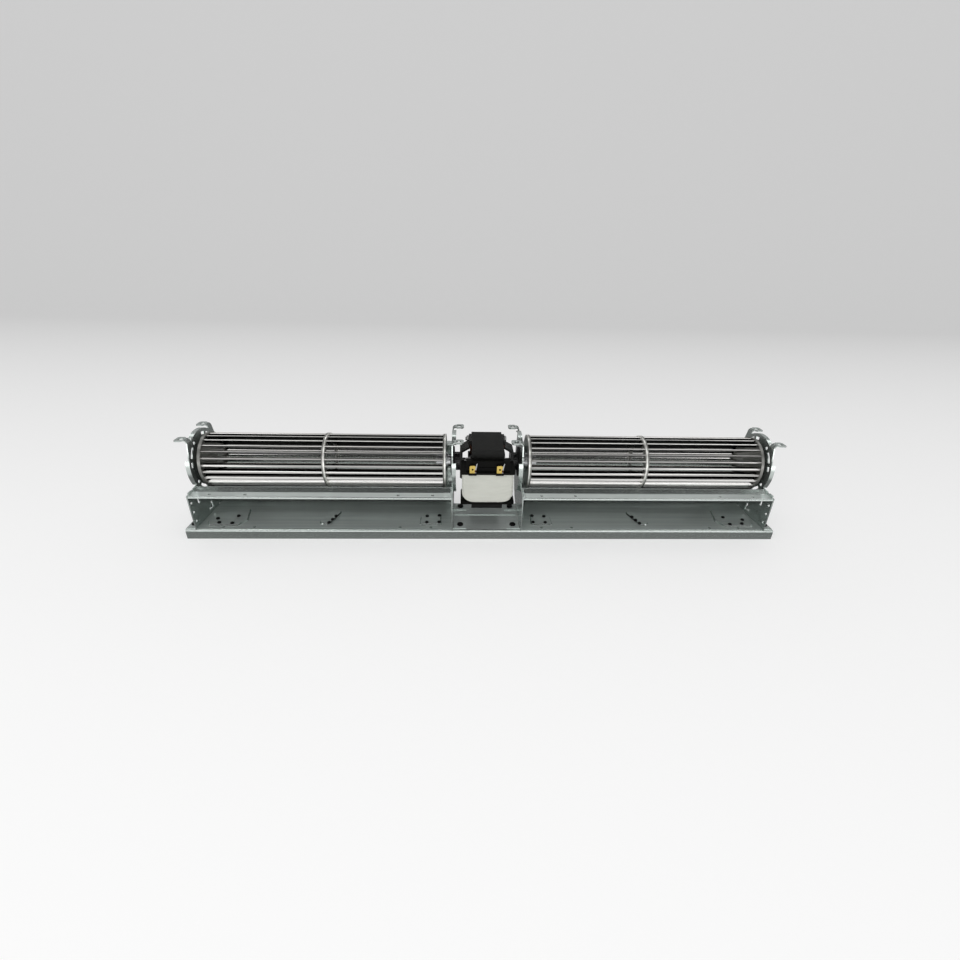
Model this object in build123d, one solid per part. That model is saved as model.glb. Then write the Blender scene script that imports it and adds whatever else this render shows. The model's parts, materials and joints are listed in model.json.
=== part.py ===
from build123d import *
from math import acos, asin, atan2, cos, degrees, hypot, radians, sin, sqrt
import os

# Cross flow fan with two impeller sections on one rail and a shaded pole motor between them.
# X runs along the rail, Y from the outlet mouths to the back, Z up. All lengths are in millimetres.
# Every piece is drawn with the rail's front edge at Y = 0 and moved to the final origin on export.
# The right section is drawn, and the left one is its mirror image.

# Rail
rail_length = 653.0
rail_depth = 60.0
rail_height = 11.5
rail_sheet = 1.2
rail_bend = 1.5
groove_front = 15.5
groove_back = 35.5
groove_depth = 1.0

# Sections along X: rail beyond the outer plates, motor side of the inner plates
rail_beyond = 11.5
bay_half = 37.5
plate_sheet = 1.2
side_gap = 0.15

# Outlet mouth and rotation axis, heights above the rail's top face
mouth_height = 40.4
axis_height = 59.5
axis_depth = 54.0

# End plates
plate_bend = 1.2
rim_gap = 5.0
rim_width = 4.5
inner_rim_end = 262.0
neck_depth = 21.0
neck_rise = 2.5
plate_margin = 2.5
ear_reach = 13.0
ear_width = 12.0
ear_half_spacing = 24.0
ear_height = 33.4
ear_hole_radius = 2.75
ear_hole_reach = 7.5
ear_corner = 3.0
ear_bend = 2.5
ear_flare = 2.0
stem_half_top = 4.0
stem_half_root = 8.0
stem_root_height = 19.0
stem_lean = 1.5
relief = 1.0
outer_foot_reach = 9.0
inner_foot_reach = 15.0
foot_width = 14.0
foot_front = 3.0
foot_back = 44.5
window_radius = 29.6
window_width = 3.4
window_repeat = 4
window_first = 121.0
round_window_radius = 1.9
long_window = (11.0, 35.0)
short_window = (43.0, 54.0)
side_hole_radius = 1.5
side_hole_depth = 4.3
side_hole_low = 8.8
side_hole_pitch = 10.8
side_hole_count = 3
side_slot_depth = 18.0
side_slot_height = 26.0
side_slot_width = 3.0
side_slot_length = 6.5
key_slot_near = 35.0
key_slot_far = 41.0
key_slot_low = 6.5
key_slot_high = 13.0
key_slot_width = 2.8

# Guide plate (floor and rear scroll)
guide_sheet = 1.0
guide_lip = 3.5
lip_bend = 2.2
hem_bend = 1.2
scroll_radius = 38.0
scroll_back_gap = 6.5
scroll_end_gap = 4.0
scroll_end_angle = 10.0
scroll_hem = 6.0
emboss_height = 1.4
emboss_slope = 40.0
floor_hole_radius = 1.6
floor_hole_depth = 4.1

# Pressed fields of the floor: corners by their reach from the plate's end and their depth
end_field = ((5.0, 16.0), (18.0, 43.5), (42.0, 43.5), (48.0, 18.0), (41.0, 6.3), (9.0, 6.3))
bay_field = ((11.5, 9.0), (36.0, 9.0), (36.0, 26.0), (30.0, 31.0), (13.0, 34.0))
field_corner = 2.5
oval_length = 34.0
oval_width = 13.0
oval_depth = 25.0
oval_lean = -72.0

# Vortex plate (upper lip of the outlet)
vortex_sheet = 1.0
vortex_bend = 0.6
vortex_lip = 2.2
vortex_rise = 3.2
vortex_slope_depth = 6.8
ridge_gap = 5.8
tongue_gap = 4.0
tongue_curl = 14.0
vortex_tab_height = 3.4
vortex_tab_width = 6.2
vortex_tab_inset = 1.6
vortex_tab_gap = 0.4
vortex_hole_radius = 1.6
vortex_hole_depth = 5.8
vortex_hole_first = 20.0
vortex_hole_second = 57.0

# Impellers
impeller_radius = 30.0
blade_count = 24
blade_sheet = 0.7
blade_tip_inset = 0.5
blade_depth = 6.4
blade_turn = 58.0
drive_disc_reach = 8.0
end_disc_reach = 6.7
disc_sheet = 1.0
disc_rim_width = 3.0
disc_rim_wall = 0.7
ring_rim_width = 2.8
ring_land = 1.6
blade_clearance = 0.08
hub_radius = 8.0
hub_inside = 10.0
hub_plate_gap = 1.6
hub_shoulder = 1.5
hub_shoulder_width = 3.0
set_screw_radius = 1.5
set_screw_sink = 0.4
set_screw_key = 0.8
set_screw_key_depth = 1.0
boss_radius = 6.5
boss_inside = 8.0
boss_outside = 1.2

# Shafts and bearings
shaft_radius = 4.0
shaft_beyond = 1.0
shaft_chamfer = 0.5
stub_radius = 3.0
stub_inside = 7.0
stub_beyond = 6.5
running_clearance = 0.05
seat_clearance = 0.03
bush_wall = 2.8
bush_length = 12.0
end_bush_length = 8.0
grommet_wall = 4.2
grommet_lip = 1.6
grommet_lip_width = 1.6
clip_sheet = 0.6
clip_width = 3.0
clip_gap = 0.05
clip_fingers = 3
clip_notch_width = 2.0
clip_notch_depth = 1.2

# Motor
stack_half = 17.0
stack_before_axis = 41.0
stack_behind_axis = 16.5
stack_below_axis = 39.6
stack_above_axis = 30.0
stack_chamfer = 1.8
limb_depth = 13.0
yoke_height = 12.8
lower_yoke_height = 11.2
window_margin = 1.0
rotor_radius = 12.7
air_gap = 0.4
rotor_half = 18.0
end_ring_radius = 11.6
end_ring_width = 3.0
bobbin_wall = 1.0
bobbin_flange = 2.4
bobbin_clearance = 0.2
coil_height = 33.0
coil_thickness = 9.2
coil_side = 10.0
coil_corner = 4.0
coil_round = 9.0
flange_overhang = 2.0
flange_corner = 3.0
block_height = 12.0
block_depth = 7.3
block_half = 23.0
rib_half = 9.5
rib_low = 4.0
rib_height = 1.0
rib_depth = 0.8
lug_depth = 1.8
lug_margin = 1.0
terminal_width = 6.3
terminal_sheet = 0.8
terminal_height = 8.4
terminal_seat = 1.8
terminal_hole_radius = 1.1
terminal_chamfer = 0.9
terminal_offset = -2.2
terminal_half_spacing = 14.2
shading_wire = 2.0
shading_radius = 15.5
shading_reach = 9.5
shading_inset = 13.5
bolt_radius = 2.0
bolt_head_radius = 3.6
bolt_head_height = 2.4
bolt_beyond = 2.0
bolt_half_spacing = 25.0
bolt_behind_axis = 6.5
bracket_sheet = 3.0
bracket_width = 22.0
bracket_margin = 4.5
bracket_reach = 10.0
bracket_foot = 8.0
bracket_boss_radius = 10.5
boss_beyond = 0.6
mount_ring_wall = 4.6

# Screws of the feet
screw_radius = 1.8
screw_head_radius = 3.4
screw_head_height = 1.6
screw_beyond = 3.0

# Derived places
rail_top = rail_height
mouth_top = rail_top + mouth_height
section_outer = rail_length / 2 - rail_beyond
axis_z = rail_top + axis_height
axis = (axis_depth, axis_z)
rim_radius = impeller_radius + rim_gap
ear_z = axis_z + ear_height
outer_inside = section_outer - plate_sheet
inner_inside = bay_half + plate_sheet
drive_disc_x = bay_half + drive_disc_reach
end_disc_x = section_outer - end_disc_reach
scroll_back = axis_depth + impeller_radius + scroll_back_gap + guide_sheet
stack_front = axis_depth - stack_before_axis
stack_back = axis_depth + stack_behind_axis
stack_z = axis_z - stack_below_axis
stack_top = axis_z + stack_above_axis
bolt_depth = axis_depth + bolt_behind_axis
window_bottom = stack_z + lower_yoke_height
window_top = stack_top - yoke_height
limb_back = stack_front + limb_depth
blade_outer = impeller_radius - blade_tip_inset
blade_inner = blade_outer - blade_depth
ring_inner_radius = blade_inner - ring_land
bush_radius = shaft_radius + bush_wall
end_bush_radius = stub_radius + bush_wall
grommet_radius = end_bush_radius + grommet_wall
mount_ring_radius = bracket_boss_radius + mount_ring_wall
boss_end = bay_half + plate_sheet + boss_beyond
plate_front_y = -guide_sheet
hem_back = scroll_back + scroll_hem
origin_y = (plate_front_y + hem_back) / 2


def across(x, outline, length):
    """Extrude an outline drawn in Y and Z along +X, from x."""
    return extrude(Plane.YZ.offset(x) * outline, amount=length)


def upward(z, outline, height, slope=0.0):
    """Extrude an outline drawn in X and Y upwards from z."""
    return extrude(Plane.XY.offset(z) * outline, amount=height, taper=slope)


def slab(x, y, z):
    """A block between two values on each axis."""
    size = (x[1] - x[0], y[1] - y[0], z[1] - z[0])
    return Pos(x[0], y[0], z[0]) * Box(*size, align=(Align.MIN, Align.MIN, Align.MIN))


def drum(x, radius, length, inner=0.0):
    """A round bar or tube about the rotation axis, from x towards +X."""
    outline = Circle(radius) - Circle(inner) if inner else Circle(radius)
    return across(x, Pos(*axis) * outline, length)


def upright_pin(x, y, z, radius, height):
    """A round bar standing on z."""
    return Pos(x, y, z) * Cylinder(radius, height, align=(Align.CENTER, Align.CENTER, Align.MIN))


def on_axis(radius, angle):
    """A point in Y and Z at a radius and angle about the rotation axis."""
    turn = radians(angle)
    return (axis_depth + radius * cos(turn), axis_z + radius * sin(turn))


def sheet_section(path, thickness, side):
    """The closed section of a folded sheet, from the path of one of its faces."""
    return make_face(offset(path, amount=thickness, side=side).edges())


# Rail

def rail():
    """Inverted channel with a long groove in the motor bay and the fixing holes."""
    web = Pos(rail_depth / 2, rail_height / 2) * Rectangle(rail_depth, rail_height)
    top_corners = web.vertices().group_by(Axis.Y)[-1]
    outer = fillet(top_corners, rail_bend + rail_sheet)
    inner_height = rail_height - rail_sheet
    inner = Pos(rail_depth / 2, inner_height / 2) * Rectangle(rail_depth - 2 * rail_sheet, inner_height)
    inner = fillet(inner.vertices().group_by(Axis.Y)[-1], rail_bend)
    body = across(-rail_length / 2, outer - inner, rail_length)
    groove_half = bay_half - rail_sheet
    groove = Pos(0, (groove_front + groove_back) / 2) * Rectangle(2 * groove_half, groove_back - groove_front)
    body += upward(rail_top - rail_sheet - groove_depth, groove, rail_sheet)
    pocket = offset(groove, amount=-rail_sheet / 2, kind=Kind.INTERSECTION)
    body -= upward(rail_top - groove_depth, pocket, groove_depth)
    for side in (1, -1):
        for x, y in rail_screw_places():
            body -= upright_pin(side * x, y, 0, screw_radius + seat_clearance, rail_height)
        for x, y in floor_hole_places():
            body -= upright_pin(side * x, y, 0, floor_hole_radius, rail_height)
    return body


def rail_screw_places():
    """The foot screws of the right section: two in the motor bay and two outside."""
    inner_x = inner_inside - foot_middle(inner_foot_reach)
    outer_x = outer_inside + foot_middle(outer_foot_reach)
    depths = (foot_front + foot_width / 2, foot_back + foot_width / 2)
    return [(x, y) for x in (inner_x, outer_x) for y in depths]


def foot_middle(reach):
    """Middle of a foot's flat part, from the plate's fan side."""
    return (plate_bend + plate_sheet + plate_sheet + reach) / 2


def floor_hole_places():
    """The open holes along the front of the floor."""
    reaches = (outer_inside - 27.0, outer_inside - 60.0, inner_inside + 23.0, inner_inside + 57.0)
    return [(x, floor_hole_depth) for x in reaches]


# End plates, drawn with the fan side at X = 0 and the rim, ears and feet towards +X

def scroll_path(grow=0.0):
    """Outer face of the floor and the rear scroll, grown outwards, as a wire in Y and Z."""
    radius = scroll_radius + grow
    corner = (scroll_back - scroll_radius, rail_top + scroll_radius)
    start = (corner[0], corner[1] - radius)
    back = (corner[0] + radius, corner[1])
    end = on_axis(impeller_radius + scroll_end_gap + guide_sheet + grow, scroll_end_angle)
    bottom = CenterArc(corner, radius, -90, 90)
    rise = TangentArc(back, end, tangent=(0, 1))
    return start, bottom, rise, end


def plate_outline():
    """The plate's outline: outlet box, round body and the web beside the scroll."""
    start, bottom, rise, end = scroll_path(plate_margin)
    neck = (neck_depth, mouth_top + neck_rise)
    edges = [Line((0, start[1]), start), bottom, rise, Line(end, axis), Line(axis, neck),
             Line(neck, (0, mouth_top)), Line((0, mouth_top), (0, start[1]))]
    body = make_face(Curve() + edges) + Pos(*axis) * Circle(rim_radius)
    floor_cut = Pos(scroll_back / 2, rail_top - plate_margin) * Rectangle(2 * scroll_back, 2 * plate_margin)
    return body - floor_cut


def stem_outline(side):
    """One ear's stem, from the round body to the bend. Side -1 is the front ear."""
    ear_y = axis_depth + side * ear_half_spacing
    root_z = axis_z + stem_root_height
    top_z = ear_z - plate_sheet - ear_bend
    outer_root = ear_y + side * (stem_half_root - stem_lean)
    inner_root = ear_y - side * stem_half_root
    points = [(ear_y + side * stem_half_top, top_z), (outer_root, root_z), (inner_root, root_z),
              (ear_y - side * stem_half_top, top_z)]
    return make_face(Polyline(*points, close=True))


def bend(low, high, edge_z, up, radius):
    """The bend from the plate to a flange at edge_z, between two places along Y. Up is 1 at the top."""
    outside = radius + plate_sheet
    corner = Pos(-outside / 2, up * outside / 2) * Rectangle(outside, outside)
    section = Pos(outside, edge_z - up * outside) * ((Circle(outside) - Circle(radius)) & corner)
    return Pos(0, low, 0) * extrude(Plane.XZ * section, amount=low - high)


def ear(side):
    """The horizontal ear above a stem, with its bend and its round hole."""
    ear_y = axis_depth + side * ear_half_spacing
    first = plate_sheet + ear_bend
    wide, narrow = ear_width / 2, stem_half_top
    blank = make_face(Polyline((first, -narrow), (first + ear_flare, -wide), (ear_reach, -wide),
                               (ear_reach, wide), (first + ear_flare, wide), (first, narrow), close=True))
    blank = fillet(blank.vertices().group_by(Axis.X)[-1], ear_corner)
    blank = Pos(0, ear_y) * (blank - Pos(ear_hole_reach, 0) * Circle(ear_hole_radius))
    flat = upward(ear_z - plate_sheet, blank, plate_sheet)
    return flat + bend(ear_y - narrow, ear_y + narrow, ear_z, 1, ear_bend)


def outer_rim_end():
    """Where the outer plate's rim ends: at the neck of the outlet box."""
    return 180 - degrees(asin((mouth_top + neck_rise - axis_z) / rim_radius))


def rim(last):
    """The folded rim around the round body, up to an angle, left open where the stems rise."""
    ring = Circle(rim_radius) - Circle(rim_radius - plate_sheet)
    reach = 3 * rim_radius
    keep = Polyline(axis, on_axis(reach, scroll_end_angle), on_axis(reach, 90), on_axis(reach, 180),
                    on_axis(reach, last), close=True)
    folded = across(0, (Pos(*axis) * ring) & make_face(keep), rim_width)
    for side in (-1, 1):
        ear_y = axis_depth + side * ear_half_spacing
        half = stem_half_root + relief
        folded -= slab((plate_sheet, rim_width + 1), (ear_y - half, ear_y + half), (axis_z, ear_z))
    return folded


def key_slot():
    """The angled slot low in the plate's side."""
    width = key_slot_width
    upright = Pos(key_slot_far, rail_top + (key_slot_low + key_slot_high) / 2)
    level = Pos((key_slot_near + key_slot_far) / 2, rail_top + key_slot_low)
    return (upright * Rectangle(width, key_slot_high - key_slot_low)
            + level * Rectangle(key_slot_far - key_slot_near + width, width))


def outer_openings():
    """Fixing holes and slot beside the mouth, and the windows round the bearing."""
    heights = [side_hole_low + n * side_hole_pitch for n in range(side_hole_count)]
    cuts = [Pos(side_hole_depth, rail_top + z) * Circle(side_hole_radius) for z in heights]
    slot = SlotOverall(side_slot_length, side_slot_width, rotation=90)
    cuts.append(Pos(side_slot_depth, rail_top + side_slot_height) * slot)
    for turn in range(window_repeat):
        first = window_first + turn * 360 / window_repeat
        cuts.append(Pos(*on_axis(window_radius, first)) * Circle(round_window_radius))
        for start, end in (long_window, short_window):
            cuts.append(arc_window(first + start, first + end))
    return cuts


def arc_window(first, last):
    """A curved window between two angles about the axis."""
    outer = window_radius + window_width / 2
    inner = window_radius - window_width / 2
    sector = Polyline(axis, on_axis(2 * outer, first), on_axis(2 * outer, last), close=True)
    return (Pos(*axis) * (Circle(outer) - Circle(inner))) & make_face(sector)


def foot(front, reach):
    """A foot folded on to the rail, with its screw hole."""
    back = front + foot_width
    span = (plate_sheet + plate_bend, plate_sheet + reach)
    pad = slab(span, (front, back), (rail_top, rail_top + plate_sheet))
    pad -= upright_pin(foot_middle(reach), front + foot_width / 2, rail_top, screw_radius + seat_clearance,
                       plate_sheet)
    return pad + bend(front, back, rail_top, -1, plate_bend)


def end_plate(centre_radius, foot_reach, rim_end, openings):
    """An end plate of one folded sheet, relieved beside the bends of its feet."""
    flat = plate_outline() + stem_outline(-1) + stem_outline(1)
    flat -= Pos(*axis) * Circle(centre_radius)
    for cut in openings:
        flat -= cut
    fronts = (foot_front, foot_back)
    bend_height = plate_sheet + plate_bend
    for front in fronts:
        notch = Rectangle(foot_width + 2 * relief, bend_height)
        flat -= Pos(front + foot_width / 2, rail_top + bend_height / 2) * notch
    plate = across(0, flat, plate_sheet) + rim(rim_end)
    for side in (-1, 1):
        plate += ear(side)
    for front in fronts:
        plate += foot(front, foot_reach)
    return plate


def outer_end_plate():
    """The plate at the fan's end, with the bearing's grommet hole."""
    plate = end_plate(grommet_radius, outer_foot_reach, outer_rim_end(), [key_slot()] + outer_openings())
    return Pos(outer_inside, 0, 0) * plate


def inner_end_plate():
    """The plate beside the motor, with the hole for the motor's rubber ring and a longer rim."""
    plate = end_plate(mount_ring_radius, inner_foot_reach, inner_rim_end, [key_slot()])
    return Pos(inner_inside, 0, 0) * mirror(plate, about=Plane.YZ)


# Guide plate and vortex plate

def emboss(plate, outline, top):
    """Press an outline upwards out of a flat sheet."""
    plate += upward(top, outline, emboss_height, emboss_slope)
    return plate - upward(top - guide_sheet, outline, emboss_height, emboss_slope)


def guide_plate():
    """Floor and rear scroll, with the front lip folded over the rail."""
    start, bottom, rise, end = scroll_path()
    lip = Line((0, rail_top - guide_lip), (0, rail_top))
    floor = Line((0, rail_top), start)
    hem = Line(end, (hem_back, end[1]))
    path = Wire([lip, floor, bottom, rise, hem])
    path = fillet(path.vertices().sort_by_distance(lip @ 1)[0], lip_bend)
    path = fillet(path.vertices().sort_by_distance(hem @ 0)[0], hem_bend)
    section = sheet_section(path, guide_sheet, Side.LEFT)
    first = inner_inside + side_gap
    plate = across(first, section, outer_inside - side_gap - first)
    top = rail_top + guide_sheet
    for outline in emboss_outlines():
        plate = emboss(plate, outline, top)
    for x, y in floor_hole_places():
        plate -= upright_pin(x, y, rail_top, floor_hole_radius, guide_sheet)
    return plate


def emboss_outlines():
    """The pressed fields of the floor: one at each end and a slanted oval between them."""
    at_end = make_face(Polyline(*[(outer_inside - reach, depth) for reach, depth in end_field], close=True))
    at_bay = make_face(Polyline(*[(inner_inside + reach, depth) for reach, depth in bay_field], close=True))
    middle = (outer_inside + inner_inside) / 2
    oval = Pos(middle, oval_depth) * Rot(0, 0, oval_lean) * SlotOverall(oval_length, oval_width)
    return [fillet(at_end.vertices(), field_corner), oval, fillet(at_bay.vertices(), field_corner)]


def vortex_plate():
    """Upper lip of the outlet: a flat band, a slope to the ridge and the tongue beside the impeller."""
    ridge = (axis_depth - impeller_radius - ridge_gap, mouth_top + vortex_rise)
    band_end = ridge[0] - vortex_slope_depth
    tongue_radius = impeller_radius + tongue_gap
    ahead, below = axis_depth - ridge[0], axis_z - ridge[1]
    touch = 180 + degrees(atan2(below, ahead) + acos(tongue_radius / hypot(ahead, below)))
    lines = FilletPolyline((0, mouth_top - vortex_lip), (0, mouth_top), (band_end, mouth_top), ridge,
                           on_axis(tongue_radius, touch), radius=vortex_bend + vortex_sheet)
    tongue = CenterArc(axis, tongue_radius, touch, tongue_curl)
    section = sheet_section(Wire(lines.edges() + tongue.edges()), vortex_sheet, Side.RIGHT)
    first, last = inner_inside + side_gap, outer_inside - side_gap
    plate = across(first, section, last - first)
    span = (mouth_top - vortex_sheet, mouth_top + vortex_tab_height)
    for depth in (vortex_tab_inset, band_end + vortex_tab_gap):
        for low in (first, last - vortex_sheet):
            plate += slab((low, low + vortex_sheet), (depth, depth + vortex_tab_width), span)
    for reach in (vortex_hole_first, vortex_hole_second):
        for x in (first + reach, last - reach):
            plate -= upright_pin(x, vortex_hole_depth, mouth_top - 2 * vortex_sheet, vortex_hole_radius,
                                 3 * vortex_sheet)
    return plate


# Impellers

def blade_outline(grow=0.0):
    """One curved blade at the impeller's rear, radial inside and turned forward outside."""
    turn = radians(blade_turn)
    a = 2 - 2 * cos(turn)
    b = 2 * blade_inner * sin(turn)
    c = blade_inner ** 2 - blade_outer ** 2
    curve = (-b + sqrt(b * b - 4 * a * c)) / (2 * a)
    centre = (axis_depth + blade_inner, axis_z + curve)
    extra = degrees(grow / curve)
    half = blade_sheet / 2 + grow
    outer = CenterArc(centre, curve + half, -90 - extra, blade_turn + 2 * extra)
    inner = CenterArc(centre, curve - half, -90 - extra, blade_turn + 2 * extra)
    return make_face(Curve() + [outer, inner, Line(outer @ 0, inner @ 0), Line(outer @ 1, inner @ 1)])


def around_axis(outline):
    """Copies of an outline round the rotation axis, one for each blade."""
    step = 360 / blade_count
    turn = [Pos(*axis) * Rot(0, 0, n * step) * Pos(-axis_depth, -axis_z) for n in range(blade_count)]
    return [place * outline for place in turn]


def blade_span():
    """Where the blades start and end along X, on the inner faces of the two end discs."""
    return drive_disc_x + disc_sheet, end_disc_x - disc_sheet


def impeller_blades():
    """All the blades of one impeller."""
    first, last = blade_span()
    return [across(first, outline, last - first) for outline in around_axis(blade_outline())]


def impeller_mid_ring():
    """The slotted ring halfway along the blades, with a rim folded over their edges."""
    radius = impeller_radius + disc_rim_wall
    ring = Pos(*axis) * (Circle(radius) - Circle(ring_inner_radius))
    for slot in around_axis(blade_outline(blade_clearance)):
        ring -= slot
    low, high = blade_span()
    first = (low + high - ring_rim_width) / 2
    return across(first, ring, disc_sheet) + drum(first, radius, ring_rim_width, impeller_radius)


def disc_with_rim(x, towards):
    """A flat disc at x, with a rim folded over the blade ends. Towards is 1 for +X."""
    radius = impeller_radius + disc_rim_wall
    first = x if towards > 0 else x - disc_sheet
    rim_first = x if towards > 0 else x - disc_rim_width
    return drum(first, radius, disc_sheet) + drum(rim_first, radius, disc_rim_width,
                                                  radius - disc_rim_wall)


def impeller_drive_disc():
    """The disc beside the motor, which the hub drives."""
    return disc_with_rim(drive_disc_x, 1) - drum(drive_disc_x, hub_radius, disc_sheet)


def impeller_hub():
    """The hub on the motor shaft, with its set screw hole and a shoulder on the disc."""
    first = inner_inside + hub_plate_gap
    length = drive_disc_x + disc_sheet + hub_inside - first
    body = drum(first, hub_radius, length)
    body += drum(drive_disc_x - hub_shoulder, hub_radius + hub_shoulder_width, hub_shoulder)
    body -= drum(first, shaft_radius + seat_clearance, length)
    return body - upright_pin(set_screw_x(), axis_depth, axis_z, set_screw_radius + seat_clearance,
                              2 * hub_radius)


def set_screw_x():
    """The set screw's place, midway between the hub's end and its shoulder."""
    return (inner_inside + hub_plate_gap + drive_disc_x - hub_shoulder) / 2


def hub_set_screw():
    """The grub screw in the hub, sunk a little below its outside."""
    foot_z = axis_z + shaft_radius + running_clearance
    length = hub_radius - shaft_radius - set_screw_sink
    screw = upright_pin(set_screw_x(), axis_depth, foot_z, set_screw_radius, length)
    key = extrude(RegularPolygon(set_screw_key, 6), amount=set_screw_key_depth)
    return screw - Pos(set_screw_x(), axis_depth, foot_z + length - set_screw_key_depth) * key


def impeller_end_disc():
    """The disc at the fan's end, with the boss of the stub shaft."""
    first = end_disc_x - disc_sheet - boss_inside
    length = boss_inside + disc_sheet + boss_outside
    disc = disc_with_rim(end_disc_x, -1) + drum(first, boss_radius, length)
    return disc - drum(first, stub_radius + seat_clearance, length)


def stub_shaft():
    """The short shaft that runs in the end bearing."""
    first = end_disc_x - disc_sheet - stub_inside
    shaft = drum(first, stub_radius, section_outer + stub_beyond - first)
    return chamfer(shaft.edges().filter_by(GeomType.CIRCLE).group_by(Axis.X)[-1], shaft_chamfer)


# Bearings in the end plates

def end_bush():
    """The sintered bush of the end bearing."""
    first = section_outer - plate_sheet / 2 - end_bush_length / 2
    return drum(first, end_bush_radius, end_bush_length, stub_radius + running_clearance)


def grommet(centre_x, inner, groove, groove_width):
    """A rubber ring with a groove that grips the edge of a hole in a sheet."""
    half = groove_width / 2 + grommet_lip_width
    body = drum(centre_x - half, groove + grommet_lip, 2 * half, inner)
    cut = drum(centre_x - groove_width / 2, groove + 2 * grommet_lip, groove_width,
               groove - seat_clearance)
    return body - cut


def end_grommet():
    """The rubber seat of the end bearing in the outer plate."""
    centre = section_outer - plate_sheet / 2
    return grommet(centre, end_bush_radius + seat_clearance, grommet_radius, plate_sheet + seat_clearance)


def end_clip():
    """The spring washer outside the end bearing, with its three fingers."""
    first = section_outer + seat_clearance + grommet_lip_width + clip_gap
    inner = end_bush_radius + seat_clearance
    ring = Circle(inner + clip_width) - Circle(inner)
    for n in range(clip_fingers):
        notch = Pos(inner + clip_width, 0) * Rectangle(2 * clip_notch_depth, clip_notch_width)
        ring -= Rot(0, 0, n * 360 / clip_fingers) * notch
    return across(first, Pos(*axis) * ring, clip_sheet)


# Motor

def bolt_places():
    """The two through bolts, in Y and Z."""
    return [(bolt_depth, axis_z + side * bolt_half_spacing) for side in (-1, 1)]


def shading_heights():
    """Lower edge of each shading loop's two bars, above and below the rotor."""
    top = axis_z + shading_radius
    bottom = axis_z - shading_radius - shading_reach
    return [(top, top + shading_reach), (bottom, bottom + shading_reach)]


def lamination_stack():
    """The stack of laminations: front limb, coil window, rotor bore and slots of the shading loops."""
    middle = ((stack_front + stack_back) / 2, (stack_z + stack_top) / 2)
    outline = Pos(*middle) * Rectangle(stack_back - stack_front, stack_top - stack_z)
    outline = chamfer(outline.vertices(), stack_chamfer)
    window_back = limb_back + coil_thickness + window_margin
    window_middle = ((limb_back + window_back) / 2, (window_bottom + window_top) / 2)
    outline -= Pos(*window_middle) * Rectangle(window_back - limb_back, window_top - window_bottom)
    outline -= Pos(*axis) * Circle(rotor_radius + air_gap)
    for place in bolt_places():
        outline -= Pos(*place) * Circle(bolt_radius + seat_clearance)
    slot = shading_wire + 2 * seat_clearance
    slot_y = axis_depth - shading_inset
    for bars in shading_heights():
        for bar_z in (bars[0], bars[1] - shading_wire):
            outline -= Pos(slot_y, bar_z + shading_wire / 2) * Rectangle(slot, slot)
    return across(-stack_half, outline, 2 * stack_half)


def shading_loops():
    """The two copper loops round the shaded poles."""
    low_y = axis_depth - shading_inset - shading_wire / 2
    outer = stack_half + shading_wire + seat_clearance
    loops = []
    for low, high in shading_heights():
        frame = slab((-outer, outer), (low_y, low_y + shading_wire), (low, high))
        inner = slab((-stack_half - seat_clearance, stack_half + seat_clearance),
                     (low_y, low_y + shading_wire), (low + shading_wire, high - shading_wire))
        loops.append(frame - inner)
    return loops


def around_limb(half_x, front, back, low, high, corner):
    """A block round the front limb, with rounded upright corners."""
    outline = Pos(0, (front + back) / 2) * RectangleRounded(2 * half_x, back - front, corner)
    return upward(low, outline, high - low)


def coil_places():
    """Front, back, bottom and top of the wound space."""
    front = stack_front - coil_thickness
    back = limb_back + coil_thickness
    low = window_bottom + seat_clearance + bobbin_flange
    return front, back, low, low + coil_height


def flange_front():
    """Front edge of the bobbin's flanges."""
    return coil_places()[0] - flange_overhang / 2


def coil_bobbin():
    """Moulded bobbin: tube round the limb, two flanges, the terminal block and its lugs."""
    front, back, low, high = coil_places()
    flange_half = stack_half + coil_side + flange_overhang
    tube_half = stack_half + bobbin_clearance + bobbin_wall
    tube_front = stack_front - bobbin_clearance - bobbin_wall
    tube_back = limb_back + bobbin_clearance + bobbin_wall
    top = window_top - seat_clearance
    bottom = window_bottom + seat_clearance
    body = around_limb(tube_half, tube_front, tube_back, bottom, top, bobbin_wall)
    block_back = stack_front - bobbin_clearance
    block_foot = high + bobbin_flange
    body += around_limb(flange_half, flange_front(), back, bottom, low, flange_corner)
    body += around_limb(flange_half, flange_front(), back, high, block_foot, flange_corner)
    block_front = block_back - block_depth
    block_z = (block_foot, block_foot + block_height)
    body += slab((-block_half, block_half), (block_front, block_back), block_z)
    rib_z = block_foot + rib_low
    body += slab((-rib_half, rib_half), (block_front - rib_depth, block_front), (rib_z, rib_z + rib_height))
    body -= slab((-stack_half - bobbin_clearance, stack_half + bobbin_clearance),
                 (stack_front - bobbin_clearance, limb_back + bobbin_clearance), (bottom, top))
    for x in terminal_places():
        half = terminal_width / 2 + lug_margin
        body += slab((x - half, x + half), (flange_front() - lug_depth, flange_front()), (high, block_foot))
        half = terminal_width / 2 + seat_clearance
        y = (terminal_front() - seat_clearance, terminal_front() + terminal_sheet + seat_clearance)
        body -= slab((x - half, x + half), y, (block_foot - terminal_seat, block_foot))
    return body


def coil_winding():
    """The winding under its tape, rounded towards the lower flange."""
    front, back, low, high = coil_places()
    gap = seat_clearance
    half = stack_half + coil_side
    view = Pos(0, (low + high) / 2) * Rectangle(2 * half, high - low - 2 * gap)
    view = fillet(view.vertices().group_by(Axis.Y)[0], coil_round)
    body = Pos(0, back, 0) * extrude(Plane.XZ * view, amount=back - front)
    body &= around_limb(half, front, back, low, high, coil_corner)
    inner_half = stack_half + bobbin_clearance + bobbin_wall + gap
    return body - around_limb(inner_half, stack_front - bobbin_clearance - bobbin_wall - gap,
                              limb_back + bobbin_clearance + bobbin_wall + gap, low, high, bobbin_wall + gap)


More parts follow.
